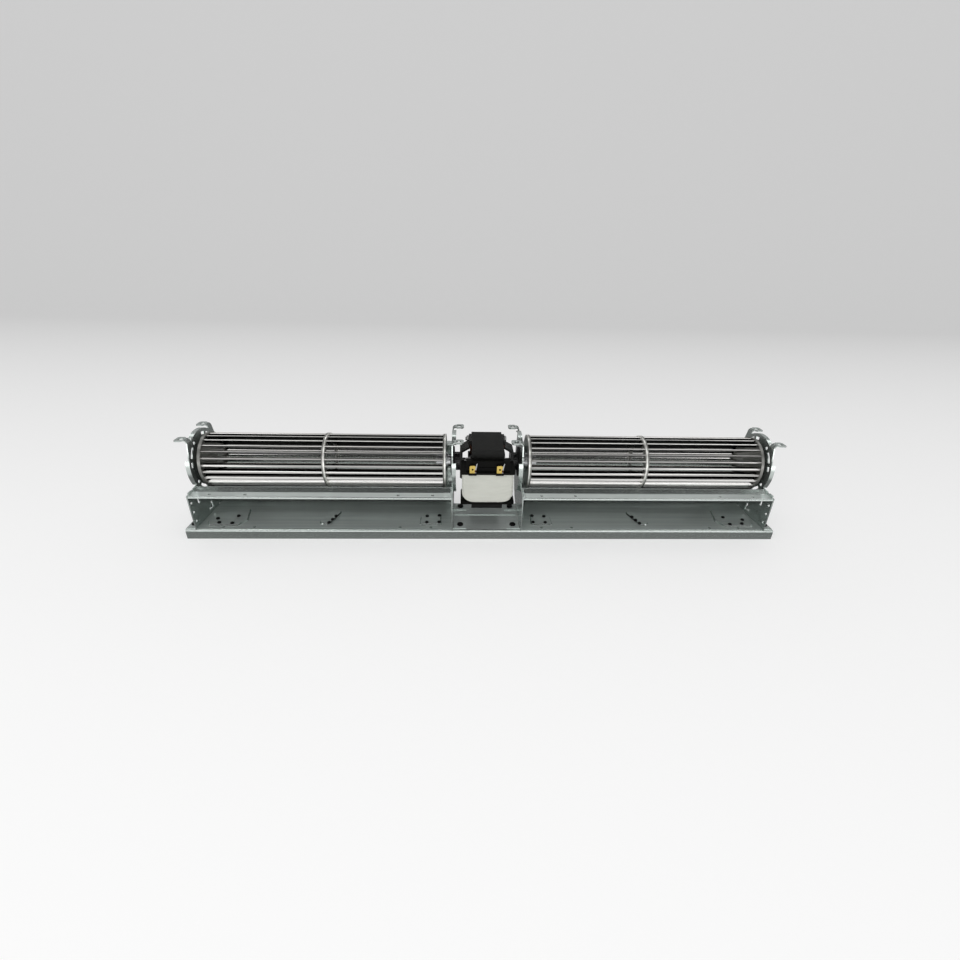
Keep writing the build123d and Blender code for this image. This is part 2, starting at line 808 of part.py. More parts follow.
def terminal_places():
    """The terminals' places along X."""
    return [terminal_offset + side * terminal_half_spacing for side in (-1, 1)]


def terminal_front():
    """Front face of the terminals, midway through the lugs of the upper flange."""
    return flange_front() - (lug_depth + terminal_sheet) / 2


def terminals():
    """The two flat blade terminals in the upper flange's lugs, each with its locking hole."""
    block_foot = coil_places()[3] + bobbin_flange
    foot_z = block_foot - terminal_seat
    tip_z = block_foot + terminal_height
    half = terminal_width / 2
    blades = []
    for x in terminal_places():
        y = (terminal_front(), terminal_front() + terminal_sheet)
        blade = slab((x - half, x + half), y, (foot_z, tip_z))
        blade = chamfer(blade.edges().filter_by(Axis.Y).group_by(Axis.Z)[-1], terminal_chamfer)
        hole = Rot(90, 0, 0) * Cylinder(terminal_hole_radius, 4 * terminal_sheet)
        blades.append(blade - Pos(x, terminal_front(), tip_z - terminal_height / 2) * hole)
    return blades


def motor_rotor():
    """The rotor's core and end rings, pressed on the shaft."""
    reach = rotor_half + end_ring_width
    core = drum(-rotor_half, rotor_radius, 2 * rotor_half) + drum(-reach, end_ring_radius, 2 * reach)
    return core - drum(-reach, shaft_radius + seat_clearance, 2 * reach)


def motor_shaft():
    """The shaft through the motor, which carries both hubs."""
    end = drive_disc_x + disc_sheet + hub_inside + shaft_beyond
    shaft = drum(-end, shaft_radius, 2 * end)
    return chamfer(shaft.edges().filter_by(GeomType.CIRCLE), shaft_chamfer)


def bearing_bracket():
    """The arched bracket on the motor's right face, with the boss of the bearing."""
    inner = stack_half
    outer = stack_half + bracket_reach
    foot_low = bolt_half_spacing - bracket_foot / 2
    foot_high = bolt_half_spacing + bracket_foot / 2
    arm = foot_low - bracket_sheet
    plate = bracket_sheet
    points = [(inner, foot_high), (inner, foot_low), (outer, arm - plate), (outer, -arm + plate),
              (inner, -foot_low), (inner, -foot_high), (inner + plate, -foot_high),
              (inner + plate, -foot_low - 0.6), (outer + plate, -arm + plate - 1.2),
              (outer + plate, arm - plate + 1.2), (inner + plate, foot_low + 0.6),
              (inner + plate, foot_high)]
    outline = Pos(0, axis_z) * make_face(Polyline(*points, close=True))
    strap = extrude(Plane.XZ * outline, amount=-bracket_width)
    strap = Pos(0, bolt_depth + bracket_margin - bracket_width, 0) * strap
    strap += drum(outer, bracket_boss_radius, boss_end - outer)
    strap -= drum(outer, bush_radius + seat_clearance, boss_end - outer)
    for y, z in bolt_places():
        strap -= across(inner, Pos(y, z) * Circle(bolt_radius + seat_clearance), bracket_sheet)
    return strap


def motor_bush():
    """The sintered bush in the bracket's boss."""
    return drum(boss_end - bush_length, bush_radius, bush_length, shaft_radius + running_clearance)


def motor_mount_ring():
    """The rubber ring that carries the bracket's boss in the inner plate."""
    centre = bay_half + plate_sheet / 2
    return grommet(centre, bracket_boss_radius + seat_clearance, mount_ring_radius,
                   plate_sheet + seat_clearance)


def motor_bolts():
    """The two through bolts, with their heads at the right."""
    first = -stack_half - bracket_sheet - bolt_head_height - bolt_beyond
    head_x = stack_half + bracket_sheet
    bolts = []
    for place in bolt_places():
        shank = across(first, Pos(*place) * Circle(bolt_radius), head_x - first)
        head = across(head_x, Pos(*place) * RegularPolygon(bolt_head_radius, 6), bolt_head_height)
        bolts.append(shank + head)
    return bolts


def motor_nuts():
    """The nuts of the through bolts."""
    first = -stack_half - bracket_sheet - bolt_head_height
    outline = RegularPolygon(bolt_head_radius, 6) - Circle(bolt_radius + seat_clearance)
    return [across(first, Pos(*place) * outline, bolt_head_height) for place in bolt_places()]


def foot_screws():
    """The screws that hold the feet of all four end plates to the rail."""
    low = rail_top - rail_sheet - screw_beyond
    seat = rail_top + plate_sheet
    screws = []
    for x, y in rail_screw_places():
        for place in (-x, x):
            shank = upright_pin(place, y, low, screw_radius, seat - low)
            screws.append(shank + upright_pin(place, y, seat, screw_head_radius, screw_head_height))
    return screws


def flipped(shape):
    """The left section's copy of a right section's piece."""
    if isinstance(shape, list):
        return [mirror(solid, about=Plane.YZ) for solid in shape]
    return mirror(shape, about=Plane.YZ)


def save(node, shape):
    """Write one node, moved to the final origin."""
    solids = shape if isinstance(shape, list) else [shape]
    placed = [Pos(0, -origin_y, 0) * solid for solid in solids]
    whole = placed[0] if len(placed) == 1 else Compound(children=placed)
    export_step(whole, os.path.join("parts", node + ".step"))


os.makedirs("parts", exist_ok=True)

paired = {
    "outer_end_plate": outer_end_plate,
    "inner_end_plate": inner_end_plate,
    "guide_plate": guide_plate,
    "vortex_plate": vortex_plate,
    "impeller_blades": impeller_blades,
    "impeller_mid_ring": impeller_mid_ring,
    "impeller_drive_disc": impeller_drive_disc,
    "impeller_hub": impeller_hub,
    "hub_set_screw": hub_set_screw,
    "impeller_end_disc": impeller_end_disc,
    "stub_shaft": stub_shaft,
    "end_bush": end_bush,
    "end_grommet": end_grommet,
    "end_clip": end_clip,
    "bearing_bracket": bearing_bracket,
    "motor_bush": motor_bush,
    "motor_mount_ring": motor_mount_ring,
}

single = {
    "base_rail": rail,
    "lamination_stack": lamination_stack,
    "shading_loops": shading_loops,
    "coil_bobbin": coil_bobbin,
    "coil_winding": coil_winding,
    "terminals": terminals,
    "motor_rotor": motor_rotor,
    "motor_shaft": motor_shaft,
    "motor_bolts": motor_bolts,
    "motor_nuts": motor_nuts,
    "foot_screws": foot_screws,
}

for name, build in paired.items():
    right = build()
    save("right_" + name, right)
    save("left_" + name, flipped(right))

for name, build in single.items():
    save(name, build())
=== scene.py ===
"""Cross flow fan: finishes, small pieces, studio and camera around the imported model."""
import json
import logging
import math
from dataclasses import dataclass
from enum import Enum
from typing import Callable

import bmesh
import bpy
from mathutils import Matrix, Vector


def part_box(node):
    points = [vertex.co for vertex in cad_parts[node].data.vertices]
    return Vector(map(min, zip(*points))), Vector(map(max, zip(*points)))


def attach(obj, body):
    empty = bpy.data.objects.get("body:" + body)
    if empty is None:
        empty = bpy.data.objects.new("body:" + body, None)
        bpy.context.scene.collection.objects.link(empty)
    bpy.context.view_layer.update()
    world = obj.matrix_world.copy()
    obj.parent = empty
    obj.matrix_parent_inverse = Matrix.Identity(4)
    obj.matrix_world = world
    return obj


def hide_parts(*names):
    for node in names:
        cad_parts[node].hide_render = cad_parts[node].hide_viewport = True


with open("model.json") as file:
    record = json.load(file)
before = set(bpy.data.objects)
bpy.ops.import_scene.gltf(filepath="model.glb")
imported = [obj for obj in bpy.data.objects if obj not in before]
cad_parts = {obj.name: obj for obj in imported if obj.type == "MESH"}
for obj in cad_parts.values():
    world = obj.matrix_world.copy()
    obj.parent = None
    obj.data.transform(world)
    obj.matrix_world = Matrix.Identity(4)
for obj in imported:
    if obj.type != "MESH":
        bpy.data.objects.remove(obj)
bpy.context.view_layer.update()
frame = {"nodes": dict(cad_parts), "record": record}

LOG = logging.getLogger("cross_flow_fan")
MM = 0.001
NEAR = 1e-5              # places closer than this count as the same
FACING = 0.9             # a face looks along an axis when its normal's share is past this
SMOOTH_ANGLE = math.radians(35)
Piece = bpy.types.Object
Tree = bpy.types.NodeTree
Socket = bpy.types.NodeSocket
Colour = tuple[float, float, float]
Point = tuple[float, float, float]
Span = tuple[float, float]
Feeds = dict[str | int, object]
OWN_FINISHES = {
    "impeller_mid_ring": "mid_rim",
    "impeller_end_disc": "end_rim",
    "impeller_drive_disc": "drive_rim",
    # the vortex plate's finish carries a stronger painted highlight on its ledge
    "vortex_plate": "galvanised_ledge",
}


class Body(Enum):
    """The two bodies of the frame."""

    HOUSING = "housing"
    ROTOR = "rotor"


class Kind(Enum):
    """What a selection in edit mode picks."""

    FACES = "FACE"
    EDGES = "EDGE"


# Shader groups

GRAIN_DETAIL = 4.0
SHEET_JOINT = 0.16               # share of the pitch that the joint between two sheets takes
THIN_LEVEL_LIGHT = 0.7                 # least share of the painted light film where its mask is 0
LEVEL_NORMAL = (0.95, 0.995)     # upward share of the normal where the painted light film starts, and where it is full
DOWN_NORMAL = (-0.20, -0.07)     # upward share of the normal where shade is full, and where it ends


def feed(tree: Tree, node: bpy.types.Node, feeds: Feeds) -> None:
    """Link or set inputs of a node.

    Args:
        tree: The tree that holds the node.
        node: The node.
        feeds: For each input, by name or number, the socket that feeds it or its constant value.
    """
    for label, value in feeds.items():
        if isinstance(value, Socket):
            tree.links.new(value, node.inputs[label])
        else:
            node.inputs[label].default_value = value


def add_node(tree: Tree, kind: str, feeds: Feeds, **settings: object) -> bpy.types.Node:
    """Add a shader node and feed its inputs.

    Args:
        tree: The tree that gets the node.
        kind: Type of the node, without its leading ShaderNode.
        feeds: For each input, by name or number, the socket that feeds it or its constant value.
        settings: Properties of the node, such as its operation.

    Returns:
        The node.
    """
    node = tree.nodes.new("ShaderNode" + kind)
    for label, value in settings.items():
        setattr(node, label, value)
    feed(tree, node, feeds)
    return node


def new_group(name: str, inputs: list[tuple[str, str, object]], outputs: list[str]) -> tuple:
    """Start a shader node group.

    Args:
        name: Name of the group.
        inputs: Name, socket type and default of each input.
        outputs: Name of each output, which is a mask.

    Returns:
        The group, the sockets of its inputs and its output node.
    """
    group = bpy.data.node_groups.new(name, "ShaderNodeTree")
    for label, kind, default in inputs:
        socket = group.interface.new_socket(label, in_out="INPUT", socket_type="NodeSocket" + kind)
        if default is not None:
            socket.default_value = default
    for label in outputs:
        group.interface.new_socket(label, in_out="OUTPUT", socket_type="NodeSocketFloat")
    return group, group.nodes.new("NodeGroupInput").outputs, group.nodes.new("NodeGroupOutput")


def grain_group() -> Tree:
    """Stretched noise, as rolled or drawn metal has.

    Returns:
        The group.
    """
    group, into, out = new_group(
        "stretched_grain",
        [("Vector", "Vector", None), ("Stretch", "Vector", (1.0, 1.0, 1.0)),
         ("Scale", "Float", 400.0), ("Contrast", "Float", 0.3)],
        ["Mask"])
    stretch = add_node(group, "VectorMath", {0: into["Vector"], 1: into["Stretch"]}, operation="MULTIPLY")
    noise = add_node(group, "TexNoise", {"Vector": stretch.outputs[0], "Scale": into["Scale"],
                                         "Detail": GRAIN_DETAIL})
    low = add_node(group, "Math", {0: 0.5, 1: into["Contrast"]}, operation="SUBTRACT")
    high = add_node(group, "Math", {0: 0.5, 1: into["Contrast"]}, operation="ADD")
    spread = add_node(group, "MapRange", {"Value": noise.outputs[0], "From Min": low.outputs[0],
                                          "From Max": high.outputs[0]})
    feed(group, out, {"Mask": spread.outputs[0]})
    return group


def spangle_group() -> Tree:
    """Zinc crystals, each with a tone of its own.

    Returns:
        The group.
    """
    group, into, out = new_group(
        "zinc_spangle", [("Vector", "Vector", None), ("Scale", "Float", 160.0)], ["Mask"])
    cells = add_node(group, "TexVoronoi", {"Vector": into["Vector"], "Scale": into["Scale"]})
    tone = add_node(group, "SeparateColor", {0: cells.outputs["Color"]})
    feed(group, out, {"Mask": tone.outputs[0]})
    return group


def stripe_group() -> Tree:
    """Thin sheets side by side along X: a fine line at every pitch.

    Returns:
        The group.
    """
    group, into, out = new_group(
        "sheet_stripes", [("Vector", "Vector", None), ("Pitch", "Float", 0.5 * MM)], ["Mask"])
    split = add_node(group, "SeparateXYZ", {0: into["Vector"]})
    count = add_node(group, "Math", {0: split.outputs["X"], 1: into["Pitch"]}, operation="DIVIDE")
    wave = add_node(group, "Math", {0: count.outputs[0], 1: 0.5}, operation="PINGPONG")
    line = add_node(group, "MapRange", {"Value": wave.outputs[0], "From Max": SHEET_JOINT})
    feed(group, out, {"Mask": line.outputs[0]})
    return group


def upward(group: Tree, span: Span) -> Socket:
    """Mask of a surface that looks up.

    Args:
        group: The group that gets the nodes.
        span: Upward share of the normal where the mask is 0, and where it is 1.

    Returns:
        The mask's socket.
    """
    split = add_node(group, "SeparateXYZ", {0: add_node(group, "NewGeometry", {}).outputs["Normal"]})
    mask = add_node(group, "MapRange", {"Value": split.outputs["Z"], "From Min": span[0],
                                        "From Max": span[1]})
    return mask.outputs[0]


def level_light_group() -> Tree:
    """Painted highlight: a pale film that lightens level faces and fades out on sloping ones.

    Returns:
        The group.
    """
    group, into, out = new_group(
        "level_bloom", [("Mask", "Float", 1.0), ("Amount", "Float", 0.5)], ["Mask"])
    thin = add_node(group, "MapRange", {"Value": into["Mask"], "To Min": THIN_LEVEL_LIGHT})
    uneven = add_node(group, "Math", {0: upward(group, LEVEL_NORMAL), 1: thin.outputs[0]},
                      operation="MULTIPLY")
    share = add_node(group, "Math", {0: uneven.outputs[0], 1: into["Amount"]}, operation="MULTIPLY")
    feed(group, out, {"Mask": share.outputs[0]})
    return group


def wheel_group() -> Tree:
    """Two masks of a wheel for painted shade: 1 towards its rim, and 1 wherever the surface does not look
    down.

    Returns:
        The group.
    """
    group, into, out = new_group(
        "wheel_shade",
        [("Vector", "Vector", None), ("Axis", "Vector", (0.0, 0.0, 0.0)),
         ("Inner", "Float", 24.0 * MM), ("Outer", "Float", 29.0 * MM)],
        ["Rim", "Lit"])
    away = add_node(group, "VectorMath", {0: into["Vector"], 1: into["Axis"]}, operation="SUBTRACT")
    flat = add_node(group, "VectorMath", {0: away.outputs[0], 1: (0.0, 1.0, 1.0)}, operation="MULTIPLY")
    radius = add_node(group, "VectorMath", {0: flat.outputs[0]}, operation="LENGTH")
    rim = add_node(group, "MapRange", {"Value": radius.outputs["Value"], "From Min": into["Inner"],
                                       "From Max": into["Outer"]})
    feed(group, out, {"Rim": rim.outputs[0], "Lit": upward(group, DOWN_NORMAL)})
    return group


class Groups:
    """The shared shader groups, each built once."""

    def __init__(self) -> None:
        """Build every group."""
        self.grain = grain_group()
        self.spangle = spangle_group()
        self.stripes = stripe_group()
        self.bloom = level_light_group()
        self.wheel = wheel_group()


GROUPS = Groups()


# Finishes


@dataclass(frozen=True)
class Grain:
    """Stretched noise: how fine it is, its stretch along each axis and how soft it is."""

    scale: float
    stretch: Point = (1.0, 1.0, 1.0)
    contrast: float = 0.35


@dataclass(frozen=True)
class Relief:
    """How strongly a mask raises the surface, and how far."""

    strength: float
    depth: float


def grey(tone: float) -> Colour:
    """Grey of one tone."""
    return (tone, tone, tone)


class Dresser:
    """Node tree of one material, with short calls for what the finishes share."""

    def __init__(self, name: str) -> None:
        """Start a material with a Principled shader and object coordinates."""
        self.material = bpy.data.materials.new(name)
        self.material.use_nodes = True
        self.tree = self.material.node_tree
        self.shader = self.tree.nodes["Principled BSDF"]
        self.place = self.add("TexCoord", {}).outputs["Object"]

    def add(self, kind: str, feeds: Feeds, **settings: object) -> bpy.types.Node:
        """Add a node to the material."""
        return add_node(self.tree, kind, feeds, **settings)

    def shade(self, feeds: Feeds) -> None:
        """Feed or set inputs of the material's shader."""
        feed(self.tree, self.shader, feeds)

    def group(self, group: Tree, feeds: Feeds) -> bpy.types.Node:
        """Place a group that reads the object's coordinates."""
        return self.add("Group", {"Vector": self.place, **feeds}, node_tree=group)

    def grain(self, grain: Grain) -> Socket:
        """Mask of stretched noise."""
        feeds = {"Scale": grain.scale, "Stretch": grain.stretch, "Contrast": grain.contrast}
        return self.group(GROUPS.grain, feeds).outputs["Mask"]

    def wheel(self, inner: float, outer: float) -> bpy.types.Node:
        """Place the impellers' wheel masks.

        Args:
            inner: Radius where the rim's mask is 0.
            outer: Radius where it is 1.

        Returns:
            The group's node.
        """
        low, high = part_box("left_impeller_end_disc")
        axis = (0.0, (low.y + high.y) / 2, (low.z + high.z) / 2)
        return self.group(GROUPS.wheel, {"Axis": axis, "Inner": inner, "Outer": outer})

    def mix(self, mask: Socket, first: object, second: object) -> Socket:
        """Blend two colours, or a socket and a colour, by a mask.

        Args:
            mask: Share of the second colour.
            first: Colour or socket where the mask is 0.
            second: Colour or socket where the mask is 1.

        Returns:
            The blended colour's socket.
        """
        first, second = (value if isinstance(value, Socket) else (*value, 1.0)
                         for value in (first, second))
        return self.add("Mix", {"Factor": mask, 6: first, 7: second}, data_type="RGBA").outputs[2]

    def spread(self, mask: Socket, low: float, high: float) -> Socket:
        """Map a mask to a range of values."""
        return self.add("MapRange", {"Value": mask, "To Min": low, "To Max": high}).outputs[0]

    def bump(self, height: Socket, relief: Relief) -> None:
        """Raise the surface by a mask, on top of what raises it already.

        Args:
            height: The mask.
            relief: Strength and depth.
        """
        node = self.add("Bump", {"Height": height, "Strength": relief.strength, "Distance": relief.depth})
        normal = self.shader.inputs["Normal"]
        if normal.is_linked:
            feed(self.tree, node, {"Normal": normal.links[0].from_socket})
        self.shade({"Normal": node.outputs[0]})


@dataclass(frozen=True)
class GalvanisedSheet:
    """Zinc coated sheet: faint crystals, rolling streaks along its length and handling smudges, and a
    pale, less metallic film on level faces as a painted highlight.
    """

    name: str = "galvanised_sheet"
    light: Colour = (0.64, 0.695, 0.67)
    dark: Colour = (0.53, 0.58, 0.555)
    light_film: Colour = (0.80, 0.86, 0.84)
    bloom: float = 0.54
    bare: float = 0.90
    smooth: float = 0.17
    rough: float = 0.23
    crystals: float = 420.0
    crystal_share: float = 0.35
    smudge: Grain = Grain(22.0, (0.5, 1.0, 1.0), 0.22)
    smudge_share: float = 0.4
    streak: Grain = Grain(260.0, (0.02, 1.0, 1.0), 0.30)
    streak_relief: Relief = Relief(0.10, 0.03 * MM)
    crystal_relief: Relief = Relief(0.06, 0.03 * MM)

    def build(self) -> bpy.types.Material:
        """Make the material.

        Returns:
            The material.
        """
        made = Dresser(self.name)
        crystals = made.group(GROUPS.spangle, {"Scale": self.crystals}).outputs["Mask"]
        smudge = made.grain(self.smudge)
        streak = made.grain(self.streak)
        tone = made.mix(streak, self.light, self.dark)
        tone = made.mix(made.spread(crystals, 0.0, self.crystal_share), tone, self.dark)
        tone = made.mix(made.spread(smudge, 0.0, self.smudge_share), tone, self.light)
        # Painted highlight: level faces turn pale and less metallic.
        light_film = made.add("Group", {}, node_tree=GROUPS.bloom)
        feed(made.tree, light_film, {"Mask": streak, "Amount": self.bloom})
        level = light_film.outputs["Mask"]
        made.shade({"Base Color": made.mix(level, tone, self.light_film),
                    "Metallic": made.spread(level, self.bare, 0.0),
                    "Roughness": made.spread(smudge, self.smooth, self.rough)})
        made.bump(streak, self.streak_relief)
        made.bump(crystals, self.crystal_relief)
        return made.material


@dataclass(frozen=True)
class DrawnMetal:
    """Bright or satin metal with a grain along X."""

    name: str
    light: Colour
    dark: Colour
    smooth: float
    rough: float
    metallic: float = 1.0
    grain: Grain = Grain(500.0, (0.02, 1.0, 1.0))
    cloud: Grain = Grain(60.0, (0.15, 1.0, 1.0), 0.25)
    relief: Relief = Relief(0.05, 0.01 * MM)

    def build(self) -> bpy.types.Material:
        """Make the material.

        Returns:
            The material.
        """
        made = Dresser(self.name)
        grain = made.grain(self.grain)
        made.shade({"Metallic": self.metallic,
                    "Base Color": made.mix(made.grain(self.cloud), self.light, self.dark),
                    "Roughness": made.spread(grain, self.smooth, self.rough)})
        made.bump(grain, self.relief)
        return made.material


@dataclass(frozen=True)
class BladeStrip:
    """Bright rolled strip of the impellers, with painted shade: darker inside the wheel and nearly black
    below; its outer edge is less metallic.
    """

    name: str = "impeller_aluminium"
    light: Colour = (0.95, 0.94, 0.915)
    shaded: Colour = (0.42, 0.415, 0.40)
    under: Colour = (0.03, 0.03, 0.03)
    smooth: float = 0.05
    rough: float = 0.09
    inner: float = 23.0 * MM
    outer: float = 28.0 * MM
    edge: Span = (28.0 * MM, 28.4 * MM)
    worn_metallic: float = 0.35
    grain: Grain = Grain(500.0, (0.01, 1.0, 1.0))

    def build(self) -> bpy.types.Material:
        """Make the material.

        Returns:
            The material.
        """
        made = Dresser(self.name)
        wheel = made.wheel(self.inner, self.outer)
        worn = made.wheel(*self.edge).outputs["Rim"]
        # Painted shade: darker towards the inside of the wheel, nearly black where the surface looks down.
        tone = made.mix(wheel.outputs["Rim"], self.shaded, self.light)
        made.shade({"Metallic": made.spread(worn, 1.0, self.worn_metallic),
                    "Base Color": made.mix(wheel.outputs["Lit"], self.under, tone),
                    "Roughness": made.spread(made.grain(self.grain), self.smooth, self.rough)})
        return made.material


@dataclass(frozen=True)
class RimBand:
    """Folded rim of a ring or disc: a painted highlight along its edge towards the motor, painted shade
    elsewhere.
    """

    name: str
    node: str
    light: Colour = (0.95, 0.945, 0.90)
    shaded: Colour = (0.26, 0.26, 0.245)
    edge: float = 0.2 * MM
    inner: float = 27.5 * MM
    outer: float = 29.0 * MM
    metallic: float = 0.5
    roughness: float = 0.28

    def build(self) -> bpy.types.Material:
        """Make the material, which serves the ring of the same name on both sides.

        Returns:
            The material.
        """
        made = Dresser(self.name)
        low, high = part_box(self.node)
        middle = abs(low.x + high.x) / 2
        split = made.add("SeparateXYZ", {0: made.place})
        reach = made.add("Math", {0: split.outputs["X"]}, operation="ABSOLUTE")
        near = made.add("MapRange", {"Value": reach.outputs[0], "From Min": middle + self.edge,
                                     "From Max": middle - self.edge})
        rim = made.wheel(self.inner, self.outer).outputs["Rim"]
        # Painted highlight: a bright line along the rim's edge towards the motor, the rest in painted
        # shade.
        bright = made.add("Math", {0: near.outputs[0], 1: rim}, operation="MULTIPLY")
        made.shade({"Metallic": self.metallic, "Roughness": self.roughness,
                    "Base Color": made.mix(bright.outputs[0], self.shaded, self.light)})
        return made.material


@dataclass(frozen=True)
class DarkCoat:
    """Black lacquer, plastic, oxide or rubber with a fine uneven skin."""

    name: str
    light: Colour
    dark: Colour
    smooth: float
    rough: float
    shine: float = 0.3
    skin: Grain = Grain(700.0)
    cloud: Grain = Grain(90.0, contrast=0.25)
    relief: Relief = Relief(0.2, 0.1 * MM)
    sheets: float = 0.0
    sheet_relief: Relief = Relief(0.4, 0.1 * MM)

    def build(self) -> bpy.types.Material:
        """Make the material, with the edges of thin sheets where it has a pitch.

        Returns:
            The material.
        """
        made = Dresser(self.name)
        skin = made.grain(self.skin)
        tone = made.mix(made.grain(self.cloud), self.dark, self.light)
        made.bump(skin, self.relief)
        if self.sheets:
            stripes = made.group(GROUPS.stripes, {"Pitch": self.sheets}).outputs["Mask"]
            tone = made.mix(stripes, self.dark, tone)
            made.bump(stripes, self.sheet_relief)
        made.shade({"Specular IOR Level": self.shine, "Base Color": tone,
                    "Roughness": made.spread(skin, self.smooth, self.rough)})
        return made.material


@dataclass(frozen=True)
class CoilTape:
    """Off-white adhesive tape round the winding, with a woven backing."""

    name: str = "coil_tape"
    light: Colour = (0.70, 0.71, 0.645)
    dark: Colour = (0.60, 0.61, 0.55)
    smooth: float = 0.42
    rough: float = 0.62
    sheen: float = 0.1
    threads: Grain = Grain(1400.0, (0.12, 1.0, 1.0), 0.3)
    cloud: Grain = Grain(70.0, (0.4, 1.0, 1.6), 0.25)
    thread_relief: Relief = Relief(0.25, 0.1 * MM)
    cloud_relief: Relief = Relief(0.15, 0.6 * MM)

    def build(self) -> bpy.types.Material:
        """Make the material.

        Returns:
            The material.
        """
        made = Dresser(self.name)
        threads = made.grain(self.threads)
        cloud = made.grain(self.cloud)
        made.shade({"Sheen Weight": self.sheen, "Base Color": made.mix(cloud, self.light, self.dark),
                    "Roughness": made.spread(threads, self.smooth, self.rough)})
        made.bump(threads, self.thread_relief)
        made.bump(cloud, self.cloud_relief)
        return made.material


class Finishes:
    """Every finish of the fan, by name. Most are named as the record's slots are."""

    def __init__(self) -> None:
        """Build the materials."""
        finishes = [
            GalvanisedSheet(),
            # The vortex plate's sheet: a stronger painted highlight on its level ledge.
            GalvanisedSheet("galvanised_ledge", bloom=0.85),
            CoilTape(),
            DarkCoat("black_rubber", grey(0.020), grey(0.009), 0.50, 0.70,
                     skin=Grain(900.0), relief=Relief(0.3, 0.1 * MM)),
            DarkCoat("black_paint", grey(0.012), grey(0.005), 0.20, 0.34, shine=0.5,
                     skin=Grain(500.0), relief=Relief(0.12, 0.1 * MM)),
            DarkCoat("black_lacquer", (0.014, 0.015, 0.013), grey(0.005), 0.30, 0.44, shine=0.22,
                     skin=Grain(600.0), relief=Relief(0.10, 0.1 * MM), sheets=0.5 * MM),
            DarkCoat("black_plastic", (0.005, 0.005, 0.004), grey(0.003), 0.26, 0.40, shine=0.08),
            DarkCoat("screw_steel", grey(0.008), grey(0.003), 0.32, 0.48, shine=0.10),
            BladeStrip(),
            RimBand("mid_rim", "left_impeller_mid_ring"),
            RimBand("end_rim", "left_impeller_end_disc"),
            RimBand("drive_rim", "left_impeller_drive_disc"),
            DrawnMetal("hub_metal", (0.60, 0.61, 0.62), (0.45, 0.46, 0.47), 0.20, 0.36),
            DrawnMetal("bright_bolt", (0.62, 0.62, 0.61), (0.48, 0.48, 0.47), 0.22, 0.36),
            DrawnMetal("shaft_steel", grey(0.70), grey(0.58), 0.10, 0.22),
            DrawnMetal("rotor_steel", grey(0.30), grey(0.20), 0.25, 0.45),
            DrawnMetal("sintered_bronze", (0.45, 0.31, 0.17), (0.30, 0.20, 0.11), 0.35, 0.55),
            DrawnMetal("copper", (0.16, 0.065, 0.04), (0.08, 0.035, 0.02), 0.26, 0.45),
            DrawnMetal("terminal_brass", (0.80, 0.60, 0.16), (0.58, 0.40, 0.08), 0.20, 0.34, 0.55),
        ]
        self.made = {finish.name: finish.build() for finish in finishes}

    def dress(self, piece: Piece, finish: str) -> None:
        """Give a piece one finish."""
        piece.data.materials.clear()
        piece.data.materials.append(self.made[finish])

    def dress_nodes(self) -> None:
        """Give each node its own finish, or else the one of its slot."""
        for part in frame["record"]["subparts"]:
            node = frame["nodes"][part["node"]]
            own = (name for tail, name in OWN_FINISHES.items() if part["node"].endswith(tail))
            finish = next(own, part["material_slot"])
            if not node.material_slots:
                node.data.materials.append(None)
            for place in node.material_slots:
                place.material = self.made[finish]
            LOG.info("finish %s on %s", finish, part["node"])


# Modelling calls


def clear_selection() -> None:
    """Deselect every object."""
    bpy.ops.object.select_all(action="DESELECT")


def begin(name: str) -> Piece:
    """Name the primitive that was just added.

    Args:
        name: Name of the piece.

    Returns:
        The piece.
    """
    piece = bpy.context.object
    piece.name = name
    piece.data.name = name
    return piece


def pick(piece: Piece, kind: Kind, test: Callable) -> None:
    """Select faces or edges of a piece in edit mode by a test.

    Args:
        piece: The piece in edit mode.
        kind: Faces or edges.
        test: Called with each face or edge.
    """
    bpy.ops.mesh.select_mode(type=kind.value)
    bpy.ops.mesh.select_all(action="DESELECT")
    mesh = bmesh.from_edit_mesh(piece.data)
    for item in getattr(mesh, kind.name.lower()):
        if test(item):
            item.select_set(True)
    bmesh.update_edit_mesh(piece.data)


def pick_top_edges(piece: Piece, height: float) -> None:
    """Select the edges that lie at a height or above it."""
    pick(piece, Kind.EDGES, lambda edge: all(v.co.z > height - NEAR for v in edge.verts))


def extrude(move: Point) -> None:
    """Extrude what is selected and move it."""
    bpy.ops.mesh.extrude_region_move(TRANSFORM_OT_translate={"value": move})


def apply_place(turned: bool = False) -> None:
    """Put the selected piece's place and scale into its mesh, and its turn where it has one."""
    bpy.ops.object.transform_apply(location=True, rotation=turned, scale=True)


def close_up() -> None:
    """Merge the doubles of the whole mesh and turn its faces outwards."""
    bpy.ops.mesh.select_all(action="SELECT")
    bpy.ops.mesh.remove_doubles(threshold=NEAR)
    bpy.ops.mesh.normals_make_consistent(inside=False)
    bpy.ops.object.mode_set(mode="OBJECT")


def settle(piece: Piece) -> Piece:
    """Put a finished piece's place into its mesh and smooth its shading.

    Args:
        piece: The piece in object mode.

    Returns:
        The same piece.

    Raises:
        RuntimeError: If the piece has lost its faces.
    """
    if not piece.data.polygons:
        raise RuntimeError(f"{piece.name} has no faces")
    clear_selection()
    piece.select_set(True)
    bpy.context.view_layer.objects.active = piece
    apply_place(turned=True)
    bpy.ops.object.shade_smooth_by_angle(angle=SMOOTH_ANGLE)
    return piece


def copy_to(piece: Piece, name: str, shift: Vector, turn: float = 0.0) -> Piece:
    """Copy a piece with its own mesh, turned about Z and moved.

    Args:
        piece: The piece to copy.
        name: Name of the copy.
        shift: How far it moves.
        turn: Angle about Z, in radians, taken before the move.

    Returns:
        The copy.
    """
    twin = piece.copy()
    twin.data = piece.data.copy()
    twin.name = name
    twin.data.name = name
    bpy.context.scene.collection.objects.link(twin)
    twin.data.transform(Matrix.Translation(shift) @ Matrix.Rotation(turn, 4, "Z"))
    return twin


